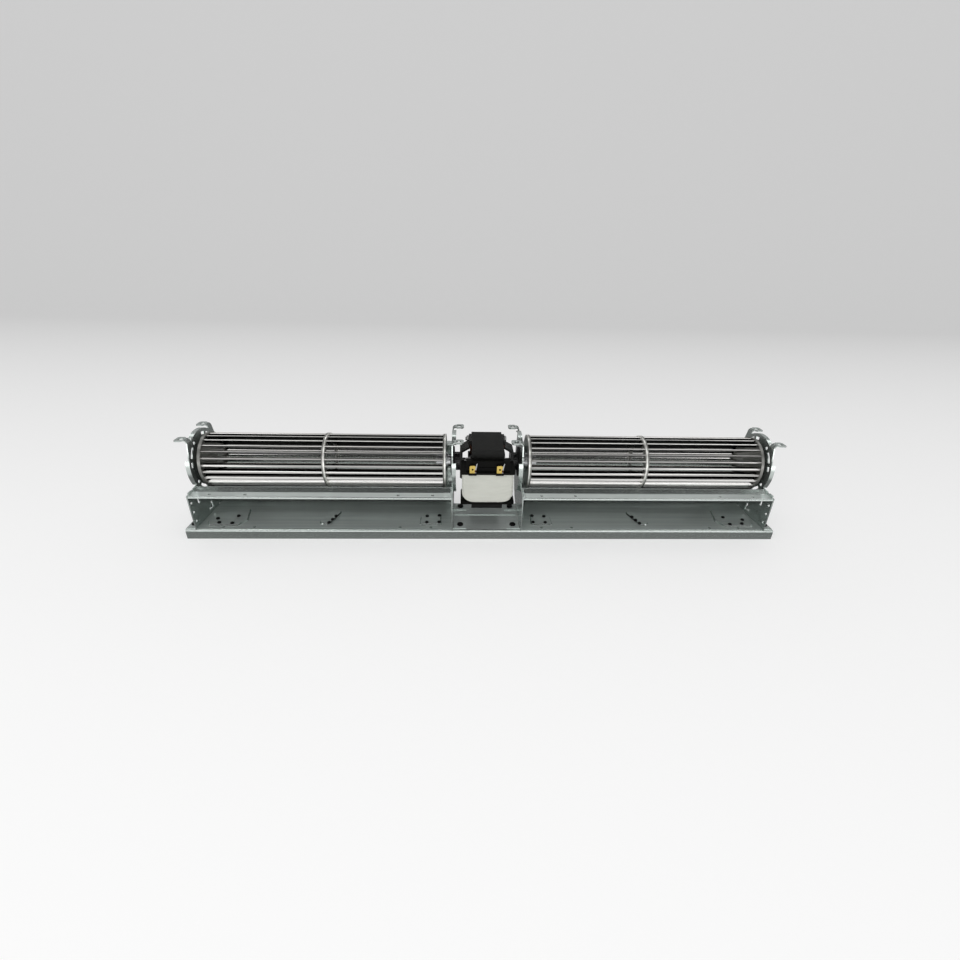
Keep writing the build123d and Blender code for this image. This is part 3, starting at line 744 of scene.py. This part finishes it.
def numbered(first: Piece, places: list[Point], turn: float = 0.0) -> list[Piece]:
    """Move a piece to the first of some places and put numbered copies of it at the others.

    Args:
        first: The piece on the origin, whose name ends in 1.
        places: Where the piece and its copies go.
        turn: How much further each copy is turned about Z, in radians.

    Returns:
        The piece and its copies.
    """
    copies = [copy_to(first, f"{first.name[:-1]}{n}", Vector(place), turn * n)
              for n, place in enumerate(places[1:], start=2)]
    first.data.transform(Matrix.Translation(places[0]))
    return [first] + copies


def cut(piece: Piece, tool: Piece) -> None:
    """Cut one piece with another.

    Args:
        piece: The piece that stays.
        tool: The piece that cuts, which is then deleted.
    """
    clear_selection()
    bpy.context.view_layer.objects.active = piece
    piece.select_set(True)
    change = piece.modifiers.new("cut", "BOOLEAN")
    change.operation = "DIFFERENCE"
    change.solver = "EXACT"
    change.object = tool
    bpy.ops.object.modifier_apply(modifier=change.name)
    bpy.data.objects.remove(tool, do_unlink=True)


# Sub-assemblies


@dataclass(frozen=True)
class ScrewKind:
    """Sizes of a screw with a rounded head, a cross recess and a rolled thread."""

    head_radius: float
    head_height: float
    shank_radius: float
    length: float
    pitch: float
    recess: float
    plain: float = 1.6 * MM
    root: float = 0.84
    crown: float = 0.6
    bar_width: float = 0.36
    sides: int = 32

    def cross_bars(self) -> list[Piece]:
        """The two bars of the cross-shaped punch. Joined into one tool they leave nothing of the screw.

        Returns:
            The bars, each a tool of its own.
        """
        bars = []
        for turn in (0.0, math.pi / 2):
            clear_selection()
            bpy.ops.mesh.primitive_cube_add(size=1.0, location=(0, 0, self.head_height),
                                            rotation=(0, 0, turn))
            bar = bpy.context.object
            bar.scale = (2 * self.recess, self.bar_width * self.recess, self.head_height)
            apply_place(turned=True)
            bars.append(bar)
        return bars

    def model(self, name: str) -> Piece:
        """Model one screw, its seat at the origin and its head upwards.

        Args:
            name: Name of the piece.

        Returns:
            The screw, with its shank below the origin.
        """
        clear_selection()
        bpy.ops.mesh.primitive_cylinder_add(vertices=self.sides, radius=self.head_radius,
                                            depth=self.head_height, location=(0, 0, self.head_height / 2))
        piece = begin(name)
        apply_place()
        bpy.ops.object.mode_set(mode="EDIT")
        pick_top_edges(piece, self.head_height)
        bpy.ops.mesh.bevel(offset=self.crown * self.head_height, segments=4)
        pick(piece, Kind.FACES, lambda face: face.normal.z < -FACING)
        bpy.ops.mesh.inset(thickness=self.head_radius - self.shank_radius)
        extrude((0, 0, -self.plain))
        for _ in range(int((self.length - self.plain) / self.pitch)):
            for grow in (self.root, 1 / self.root):
                extrude((0, 0, -self.pitch / 2))
                bpy.ops.transform.resize(value=(grow, grow, 1.0), center_override=(0, 0, 0))
        bpy.ops.object.mode_set(mode="OBJECT")
        for bar in self.cross_bars():
            cut(piece, bar)
        return settle(piece)


@dataclass
class Fasteners:
    """Screws of the feet, the two bolts through the motor's sheets and their nuts."""

    finishes: Finishes
    foot: ScrewKind = ScrewKind(head_radius=3.4 * MM, head_height=1.9 * MM, shank_radius=1.75 * MM,
                                length=5.3 * MM, pitch=0.8 * MM, recess=2.1 * MM)
    foot_turn: float = 0.5
    inner_reach: float = 29.4 * MM
    seat: float = 12.7 * MM
    bolt_seat: float = 20.0 * MM
    bolt_radius: float = 1.95 * MM
    bolt_pitch: float = 0.7 * MM
    bolt_recess: float = 2.0 * MM
    bolt_plain: float = 30.0 * MM
    bolt_root: float = 0.9
    bolt_heights: Span = (46.0 * MM, 96.0 * MM)
    nut_edge: float = 0.45 * MM
    nut_face: float = 0.3
    nut_crown: float = 1.06

    def put(self, piece: Piece, node: str, finish: str = "bright_bolt") -> None:
        """Finish one fastener and let it stand for its CAD node.

        Args:
            piece: The fastener.
            node: The node that it replaces.
            finish: Name of its finish.
        """
        self.finishes.dress(piece, finish)
        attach(piece, Body.HOUSING.value)
        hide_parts(node)
        LOG.info("piece %s", piece.name)

    def foot_screws(self) -> None:
        """Model the foot screws and put them in their feet."""
        low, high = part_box("foot_screws")
        inset = self.foot.head_radius
        places = [(side * reach, y, self.seat) for side in (-1, 1)
                  for reach in (self.inner_reach, high.x - inset)
                  for y in (low.y + inset, high.y - inset)]
        for piece in numbered(self.foot.model("foot_screw_1"), places, self.foot_turn):
            self.put(piece, "foot_screws", "screw_steel")

    def bolts(self) -> None:
        """Model the bolts across the motor, heads to the right."""
        low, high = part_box("motor_bolts")
        kind = ScrewKind(head_radius=(high.y - low.y) / 2, head_height=high.x - self.bolt_seat,
                         shank_radius=self.bolt_radius, length=self.bolt_seat - low.x,
                         pitch=self.bolt_pitch, recess=self.bolt_recess, plain=self.bolt_plain,
                         root=self.bolt_root)
        first = kind.model("motor_bolt_1")
        first.data.transform(Matrix.Rotation(math.pi / 2, 4, "Y"))
        places = [(self.bolt_seat, (low.y + high.y) / 2, z) for z in self.bolt_heights]
        for piece in numbered(first, places):
            self.put(piece, "motor_bolts")

    def nuts(self) -> None:
        """Model the hexagon nuts, with turned-down corners."""
        low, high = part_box("motor_nuts")
        width = (high.y - low.y) / 2
        clear_selection()
        bpy.ops.mesh.primitive_cylinder_add(vertices=6, radius=width, depth=high.x - low.x,
                                            rotation=(0, math.pi / 2, 0))
        first = begin("motor_nut_1")
        apply_place(turned=True)
        bpy.ops.object.mode_set(mode="EDIT")
        pick(first, Kind.FACES, lambda face: abs(face.normal.x) > FACING)
        bpy.ops.mesh.bevel(offset=self.nut_edge, segments=3)
        pick(first, Kind.FACES, lambda face: abs(face.normal.x) > FACING)
        bpy.ops.mesh.inset(thickness=self.nut_face * width)
        bpy.ops.transform.resize(value=(self.nut_crown, 1.0, 1.0), center_override=(0, 0, 0))
        bpy.ops.object.mode_set(mode="OBJECT")
        places = [((low.x + high.x) / 2, (low.y + high.y) / 2, z) for z in self.bolt_heights]
        for piece in numbered(settle(first), places):
            self.put(piece, "motor_nuts")

    def build(self) -> None:
        """Model every screw, bolt and nut."""
        self.foot_screws()
        self.bolts()
        self.nuts()


@dataclass
class ClinchDots:
    """Round clinch marks in the pressed fields of the duct floors, dressed black as painted shade."""

    finishes: Finishes
    radius: float = 2.0 * MM
    height: float = 1.4 * MM
    sides: int = 24
    crown: float = 0.55
    dish_edge: float = 0.25
    dish_depth: float = 0.3
    field_top: float = 14.1 * MM
    front: float = -48.25 * MM
    oval_reach: float = 172.5 * MM
    oval_depth: float = 18.0 * MM
    oval_pitch: float = 7.4 * MM
    oval_lean: float = math.radians(72.0)
    field_places: tuple[Span, ...] = (     # reach from the middle and depth from the front, in mm
        (299.0, 19.0), (278.5, 24.5), (294.0, 10.5), (279.5, 9.3),
        (53.5, 27.0), (67.2, 25.6), (53.0, 12.6), (66.8, 12.2))

    def model(self) -> Piece:
        """Model one mark: a low dome with a dished middle, on the origin.

        Returns:
            The mark.
        """
        clear_selection()
        bpy.ops.mesh.primitive_cylinder_add(vertices=self.sides, radius=self.radius, depth=self.height,
                                            location=(0, 0, self.height / 2))
        piece = begin("clinch_dot_1")
        apply_place()
        bpy.ops.object.mode_set(mode="EDIT")
        pick_top_edges(piece, self.height)
        bpy.ops.mesh.bevel(offset=self.crown * self.height, segments=4)
        pick(piece, Kind.FACES, lambda face: face.normal.z > 0.95)
        bpy.ops.mesh.inset(thickness=self.dish_edge * self.radius)
        bpy.ops.transform.translate(value=(0, 0, -self.dish_depth * self.height))
        bpy.ops.object.mode_set(mode="OBJECT")
        return settle(piece)

    def places(self) -> list[Point]:
        """Middle of each mark: the fields' own, and a leaning row of three in each oval.

        Returns:
            The places, left floor first.
        """
        spots = [(reach * MM, depth * MM) for reach, depth in self.field_places]
        for along in (-self.oval_pitch, 0.0, self.oval_pitch):
            spots.append((self.oval_reach - along * math.cos(self.oval_lean),
                          self.oval_depth + along * math.sin(self.oval_lean)))
        return [(side * reach, self.front + depth, self.field_top)
                for side in (-1, 1) for reach, depth in spots]

    def build(self) -> None:
        """Model the marks on both floors."""
        for piece in numbered(self.model(), self.places()):
            # Painted shade: the marks pressed in the sheet are dressed in black steel.
            self.finishes.dress(piece, "screw_steel")
            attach(piece, Body.HOUSING.value)
            LOG.info("piece %s", piece.name)


@dataclass
class SolderTags:
    """A tinned tag beside each terminal, with the end of the winding's wire wrapped round it."""

    finishes: Finishes
    terminal_half: float = 3.15 * MM
    beside: float = 3.0 * MM
    foot_depth: float = 0.2 * MM
    foot_height: float = 1.8 * MM
    width: float = 1.3 * MM
    thick: float = 0.5 * MM
    rise: float = 11.6 * MM
    straight: float = 0.3
    stages: tuple[Span, ...] = ((0.25, 1.0), (0.25, 0.9), (0.2, 0.55))   # share of the rise, narrowing
    lean: float = 1.5 * MM
    sideways: float = 0.35
    edge: float = 0.08 * MM
    wire: float = 0.24 * MM
    wire_sides: int = 8
    wire_height: float = 0.12
    wire_reach: float = 0.62
    wraps: int = 4
    wrap_steps: int = 16
    wrap_pitch: float = 2.3

    def strip(self, name: str, root: Vector) -> Piece:
        """Model one tag: a narrow strip that leans forward and narrows to its tip.

        Args:
            name: Name of the tag.
            root: Where its foot stands on the bobbin.

        Returns:
            The tag.
        """
        clear_selection()
        bpy.ops.mesh.primitive_cube_add(size=1.0)
        piece = begin(name)
        piece.scale = (self.width, self.thick, self.straight * self.rise)
        piece.location = root + Vector((0, 0, self.straight / 2 * self.rise))
        apply_place()
        bpy.ops.object.mode_set(mode="EDIT")
        pick(piece, Kind.FACES, lambda face: face.normal.z > FACING)
        for share, narrow in self.stages:
            extrude((self.sideways * self.lean, -self.lean * share, share * self.rise))
            bpy.ops.transform.resize(value=(narrow, 1.0, 1.0))
        bpy.ops.mesh.select_all(action="SELECT")
        bpy.ops.mesh.bevel(offset=self.edge, segments=2, affect="EDGES")
        bpy.ops.object.mode_set(mode="OBJECT")
        return settle(piece)

    def wrap(self, name: str, root: Vector) -> Piece:
        """Model the wire's turns round a tag: a flat spin, then raised ring by ring into a coil.

        Args:
            name: Name of the coil.
            root: Where the tag's foot stands.

        Returns:
            The coil of wire.
        """
        clear_selection()
        middle = root + Vector((0, 0, self.wire_height * self.rise))
        start = middle + Vector((self.wire_reach * self.width, 0, 0))
        bpy.ops.mesh.primitive_circle_add(vertices=self.wire_sides, radius=self.wire, fill_type="NGON",
                                          location=start, rotation=(math.pi / 2, 0, 0))
        piece = begin(name)
        apply_place(turned=True)
        bpy.ops.object.mode_set(mode="EDIT")
        bpy.ops.mesh.select_all(action="SELECT")
        bpy.ops.mesh.extrude_region_move()
        bpy.ops.mesh.spin(steps=self.wrap_steps * self.wraps, angle=2 * math.pi * self.wraps,
                          center=middle, axis=(0, 0, 1))
        bpy.ops.object.mode_set(mode="OBJECT")
        for index, vertex in enumerate(piece.data.vertices):
            ring = max(0, index // self.wire_sides - 1)
            vertex.co.z += ring / self.wrap_steps * self.wrap_pitch * self.wire
        bpy.ops.object.mode_set(mode="EDIT")
        close_up()
        return settle(piece)

    def build(self) -> None:
        """Model both tags on the terminal block's foot."""
        low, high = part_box("terminals")
        half = self.terminal_half
        for number, x in enumerate((low.x + half, high.x - half), start=1):
            root = Vector((x + self.beside, low.y + self.foot_depth, low.z + self.foot_height))
            for piece, slot in ((self.strip(f"solder_tag_{number}", root), "hub_metal"),
                                (self.wrap(f"winding_end_{number}", root), "copper")):
                self.finishes.dress(piece, slot)
                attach(piece, Body.HOUSING.value)
                LOG.info("piece %s", piece.name)


@dataclass
class TapedCoil:
    """The taped winding: rounded below, swollen between the flanges, with lapped turns of tape."""

    finishes: Finishes
    corner: float = 4.0 * MM
    foot_radius: float = 9.4 * MM
    levels: int = 72
    columns: int = 30
    limb_half: float = 18.23 * MM
    limb_front: float = -36.48 * MM
    limb_back: float = -21.02 * MM
    swell: float = 0.45 * MM
    lap: float = 0.22 * MM
    laps: int = 5
    lap_slope: float = 9.0
    lap_wave: float = 0.25
    lap_waves: float = 60.0
    pucker: float = 0.16 * MM
    pucker_from: float = 8.0 * MM
    pucker_fade: float = 12.0 * MM
    pucker_slant: float = 0.55
    pucker_waves: Span = (1500.0, 300.0)
    ripple: float = 0.05 * MM
    ripple_waves: Span = (900.0, 500.0)

    def relief(self, x: float, z: float, share: float) -> float:
        """How far the tape stands out: its swell, its lapped edges and the puckers at the right.

        Args:
            x: Place across the winding.
            z: Height.
            share: Height as a share of the winding.

        Returns:
            Distance outwards.
        """
        slant = share * self.laps + self.lap_slope * x + self.lap_wave * math.sin(self.lap_waves * x)
        stand = self.swell * math.sin(math.pi * share) + self.lap * (slant % 1.0)
        right = max(0.0, min(1.0, (x - self.pucker_from) / self.pucker_fade))
        fine, broad = self.pucker_waves
        stand += self.pucker * right * math.sin(
            fine * (z - self.pucker_slant * x) + 2.0 * math.sin(broad * x))
        across, along = self.ripple_waves
        return stand + self.ripple * math.sin(across * x + 3 * math.sin(along * z))

    def shape(self, piece: Piece, low: Vector, high: Vector) -> None:
        """Round the foot and set out the tape by moving the wall's vertices.

        Args:
            piece: The block with its levels and columns.
            low: Lowest corner of the winding.
            high: Highest corner of the winding.
        """
        middle = (low + high) / 2
        half = (high - low) / 2
        for vertex in piece.data.vertices:
            point = vertex.co
            rise = point.z - low.z
            inward = 0.0
            if rise < self.foot_radius:
                depth = self.foot_radius - rise
                inward = self.foot_radius - math.sqrt(max(self.foot_radius ** 2 - depth ** 2, 0.0))
            stand = self.relief(point.x, point.z, rise / (high.z - low.z))
            point.x = middle.x + (point.x - middle.x) * (1 + (stand - inward) / half.x)
            point.y = middle.y + (point.y - middle.y) * (1 + stand / half.y)

    def limb(self, low: Vector, high: Vector) -> Piece:
        """The block that clears the lamination stack's limb, taller than the winding.

        Args:
            low: Lowest corner of the winding.
            high: Highest corner of the winding.

        Returns:
            The block.
        """
        clear_selection()
        bpy.ops.mesh.primitive_cube_add(size=1.0)
        block = bpy.context.object
        block.location = (0, (self.limb_front + self.limb_back) / 2, (low.z + high.z) / 2)
        block.scale = (2 * self.limb_half, self.limb_back - self.limb_front, 2 * (high.z - low.z))
        apply_place()
        return block

    def build(self) -> None:
        """Model the winding and put it on its bobbin."""
        low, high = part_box("coil_winding")
        clear_selection()
        bpy.ops.mesh.primitive_cube_add(size=1.0, location=(low + high) / 2)
        piece = begin("taped_coil")
        piece.scale = high - low
        apply_place()
        bpy.ops.object.mode_set(mode="EDIT")
        pick(piece, Kind.EDGES, lambda edge: abs(edge.verts[0].co.z - edge.verts[1].co.z) > MM)
        bpy.ops.mesh.bevel(offset=self.corner, segments=6)
        for axis, count in ((2, self.levels), (0, self.columns)):
            for step in range(1, count):
                normal = [0.0, 0.0, 0.0]
                normal[axis] = 1.0
                place = [0.0, 0.0, 0.0]
                place[axis] = low[axis] + (high[axis] - low[axis]) * step / count
                bpy.ops.mesh.select_all(action="SELECT")
                bpy.ops.mesh.bisect(plane_co=place, plane_no=normal)
        bpy.ops.object.mode_set(mode="OBJECT")
        self.shape(piece, low, high)
        cut(piece, self.limb(low, high))
        settle(piece)
        self.finishes.dress(piece, "coil_tape")
        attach(piece, Body.HOUSING.value)
        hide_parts("coil_winding")
        LOG.info("piece %s", piece.name)


@dataclass
class Studio:
    """Pale floor and backdrop, a soft sky with long reflector panels, and the camera."""

    floor_tone: float = 0.60
    floor_glow: Span = (0.52, 0.20)
    floor_glow_from: Span = (-0.45, 1.4)
    floor_mirrored: Span = (0.8, 0.175)
    floor_dim_from: Span = (-0.14, -0.10)
    floor_size: Span = (9.0, 4.4)
    floor_middle: float = -0.6
    sweep: float = 0.9
    sweep_steps: int = 16
    wall: float = 1.6
    sky_tone: float = 0.64
    front_panels: tuple[Span, ...] = (     # upward share of the direction, and brightness
        (0.0, 2.6), (0.15, 2.6), (0.20, 0.80), (0.42, 0.45), (0.46, 1.4), (0.57, 1.4),
        (0.61, 0.03), (0.80, 0.03), (0.84, 1.8), (0.90, 1.8), (0.93, 0.08), (1.0, 0.08))
    back_panels: tuple[Span, ...] = (
        (0.0, 0.20), (0.26, 0.25), (0.30, 1.7), (0.54, 1.7), (0.58, 0.03), (0.71, 0.02),
        (0.73, 2.6), (0.78, 2.6), (0.81, 0.05), (1.0, 0.05))
    panel_fade: float = 0.1
    key_place: Point = (-0.9, -1.4, 1.3)
    key_aim: Point = (0.0, 0.0, 0.05)
    key_size: Span = (0.9, 0.5)
    key_power: float = 5.5
    sensor: float = 36.0
    lens: float = 18.165
    shift: Span = (-0.00366, 0.01630)
    eye: Point = (-0.02583, -0.50214, 0.29972)
    yaw: float = -0.047
    pitch: float = 0.494
    roll: float = 0.027

    def paint(self) -> bpy.types.Material:
        """Pale floor that glows, brighter towards the front, as painted light; polished metal sees it as a
        dim studio floor, a painted reflection.

        Returns:
            The floor's material.
        """
        made = Dresser("floor_paint")
        made.material.cycles.emission_sampling = "NONE"
        depth = made.add("SeparateXYZ", {0: made.place}).outputs["Y"]
        # Painted light: the floor glows by emission, brighter towards the front.
        near, far = self.floor_glow_from
        fade = made.add("MapRange", {"Value": depth, "From Min": near, "From Max": far})
        front, back = (grey(tone) for tone in self.floor_glow)
        made.shade({"Base Color": (*grey(self.floor_tone), 1.0), "Roughness": 1.0,
                    "Specular IOR Level": 0.0, "Emission Strength": 1.0,
                    "Emission Color": made.mix(fade.outputs[0], front, back)})
        near, far = self.floor_dim_from
        front, back = self.floor_mirrored
        mirrored = made.add("MapRange", {"Value": depth, "From Min": near, "From Max": far,
                                         "To Min": front, "To Max": back})
        dim = made.add("Emission", {"Strength": mirrored.outputs[0]})
        glossy = made.add("LightPath", {}).outputs["Is Glossy Ray"]
        blend = made.add("MixShader", {0: glossy, 1: made.shader.outputs[0], 2: dim.outputs[0]})
        feed(made.tree, made.tree.nodes["Material Output"], {"Surface": blend.outputs[0]})
        return made.material

    def floor(self) -> None:
        """Model the floor and the curved backdrop behind it."""
        clear_selection()
        bpy.ops.mesh.primitive_plane_add(size=1.0, location=(0, self.floor_middle, 0))
        piece = begin("floor")
        piece.scale = (*self.floor_size, 1.0)
        apply_place()
        bpy.ops.object.mode_set(mode="EDIT")
        edge = max(v.co.y for v in piece.data.vertices)
        pick(piece, Kind.EDGES, lambda item: all(v.co.y > edge - NEAR for v in item.verts))
        bpy.ops.mesh.extrude_region_move()
        length = self.sweep * math.pi / 2 / self.sweep_steps
        for step in range(self.sweep_steps):
            turn = (step + 0.5) / self.sweep_steps * math.pi / 2
            bpy.ops.transform.translate(value=(0, length * math.cos(turn), length * math.sin(turn)))
            bpy.ops.mesh.extrude_region_move()
        bpy.ops.transform.translate(value=(0, 0, self.wall))
        close_up()
        settle(piece)
        piece.data.materials.append(self.paint())

    def panels(self, tree: Tree, rise: Socket,
               stops: tuple[Span, ...]) -> Socket:
        """Brightness of the reflector panels over the height of a direction.

        Args:
            tree: The world's tree.
            rise: Upward share of the direction.
            stops: Height and brightness of each stop.

        Returns:
            The brightness, as a grey.
        """
        ramp = add_node(tree, "ValToRGB", {0: rise})
        while len(ramp.color_ramp.elements) < len(stops):
            ramp.color_ramp.elements.new(0.5)
        for element, (place, tone) in zip(ramp.color_ramp.elements, stops):
            element.position = place
            element.color = (*grey(tone), 1.0)
        return ramp.outputs[0]

    def sky(self) -> None:
        """Soft pale sky, which metal sees as long bright panels under a dark ceiling."""
        world = bpy.data.worlds.new("studio")
        bpy.context.scene.world = world
        world.use_nodes = True
        world.cycles.sampling_method = "NONE"
        tree = world.node_tree
        split = add_node(tree, "SeparateXYZ", {0: add_node(tree, "TexCoord", {}).outputs["Generated"]})
        front, back = (self.panels(tree, split.outputs["Z"], stops)
                       for stops in (self.front_panels, self.back_panels))
        side = add_node(tree, "MapRange", {"Value": split.outputs["Y"], "From Min": -self.panel_fade,
                                           "From Max": self.panel_fade})
        mirrored = add_node(tree, "Mix", {"Factor": side.outputs[0], 6: front, 7: back}, data_type="RGBA")
        glossy = add_node(tree, "LightPath", {}).outputs["Is Glossy Ray"]
        pale = (*grey(self.sky_tone), 1.0)
        seen = add_node(tree, "Mix", {"Factor": glossy, 6: pale, 7: mirrored.outputs[2]}, data_type="RGBA")
        feed(tree, tree.nodes["Background"], {"Color": seen.outputs[2]})

    def key_light(self) -> None:
        """Hang a gentle light over the sky's, so that forms keep a lit side."""
        lamp = bpy.data.lights.new("key_panel", "AREA")
        lamp.shape = "RECTANGLE"
        lamp.size, lamp.size_y = self.key_size
        lamp.energy = self.key_power
        holder = bpy.data.objects.new("key_panel", lamp)
        bpy.context.scene.collection.objects.link(holder)
        holder.location = self.key_place
        aim = Vector(self.key_aim) - Vector(self.key_place)
        holder.rotation_euler = aim.to_track_quat("-Z", "Y").to_euler()
        holder.visible_glossy = False

    def camera(self) -> None:
        """Set the camera where the photograph was taken."""
        lens = bpy.data.cameras.new("photo_camera")
        lens.sensor_width = self.sensor
        lens.lens = self.lens
        lens.shift_x, lens.shift_y = self.shift
        holder = bpy.data.objects.new("photo_camera", lens)
        bpy.context.scene.collection.objects.link(holder)
        turn = Matrix.Rotation(self.yaw, 4, "Z")
        tilt = Matrix.Rotation(math.pi / 2 - self.pitch, 4, "X")
        spin = Matrix.Rotation(self.roll, 4, "Z")
        holder.matrix_world = Matrix.Translation(self.eye) @ turn @ tilt @ spin
        bpy.context.scene.camera = holder

    def build(self) -> None:
        """Set up floor, lights and camera."""
        self.floor()
        self.sky()
        self.key_light()
        bpy.context.scene.view_settings.view_transform = "Standard"
        self.camera()
        LOG.info("studio ready")


def main() -> None:
    """Dress the nodes, model the small pieces and set up the studio."""
    logging.basicConfig(level=logging.INFO, format="%(name)s: %(message)s")
    finishes = Finishes()
    finishes.dress_nodes()
    Fasteners(finishes).build()
    ClinchDots(finishes).build()
    TapedCoil(finishes).build()
    SolderTags(finishes).build()
    Studio().build()


if __name__ == "__main__":
    main()
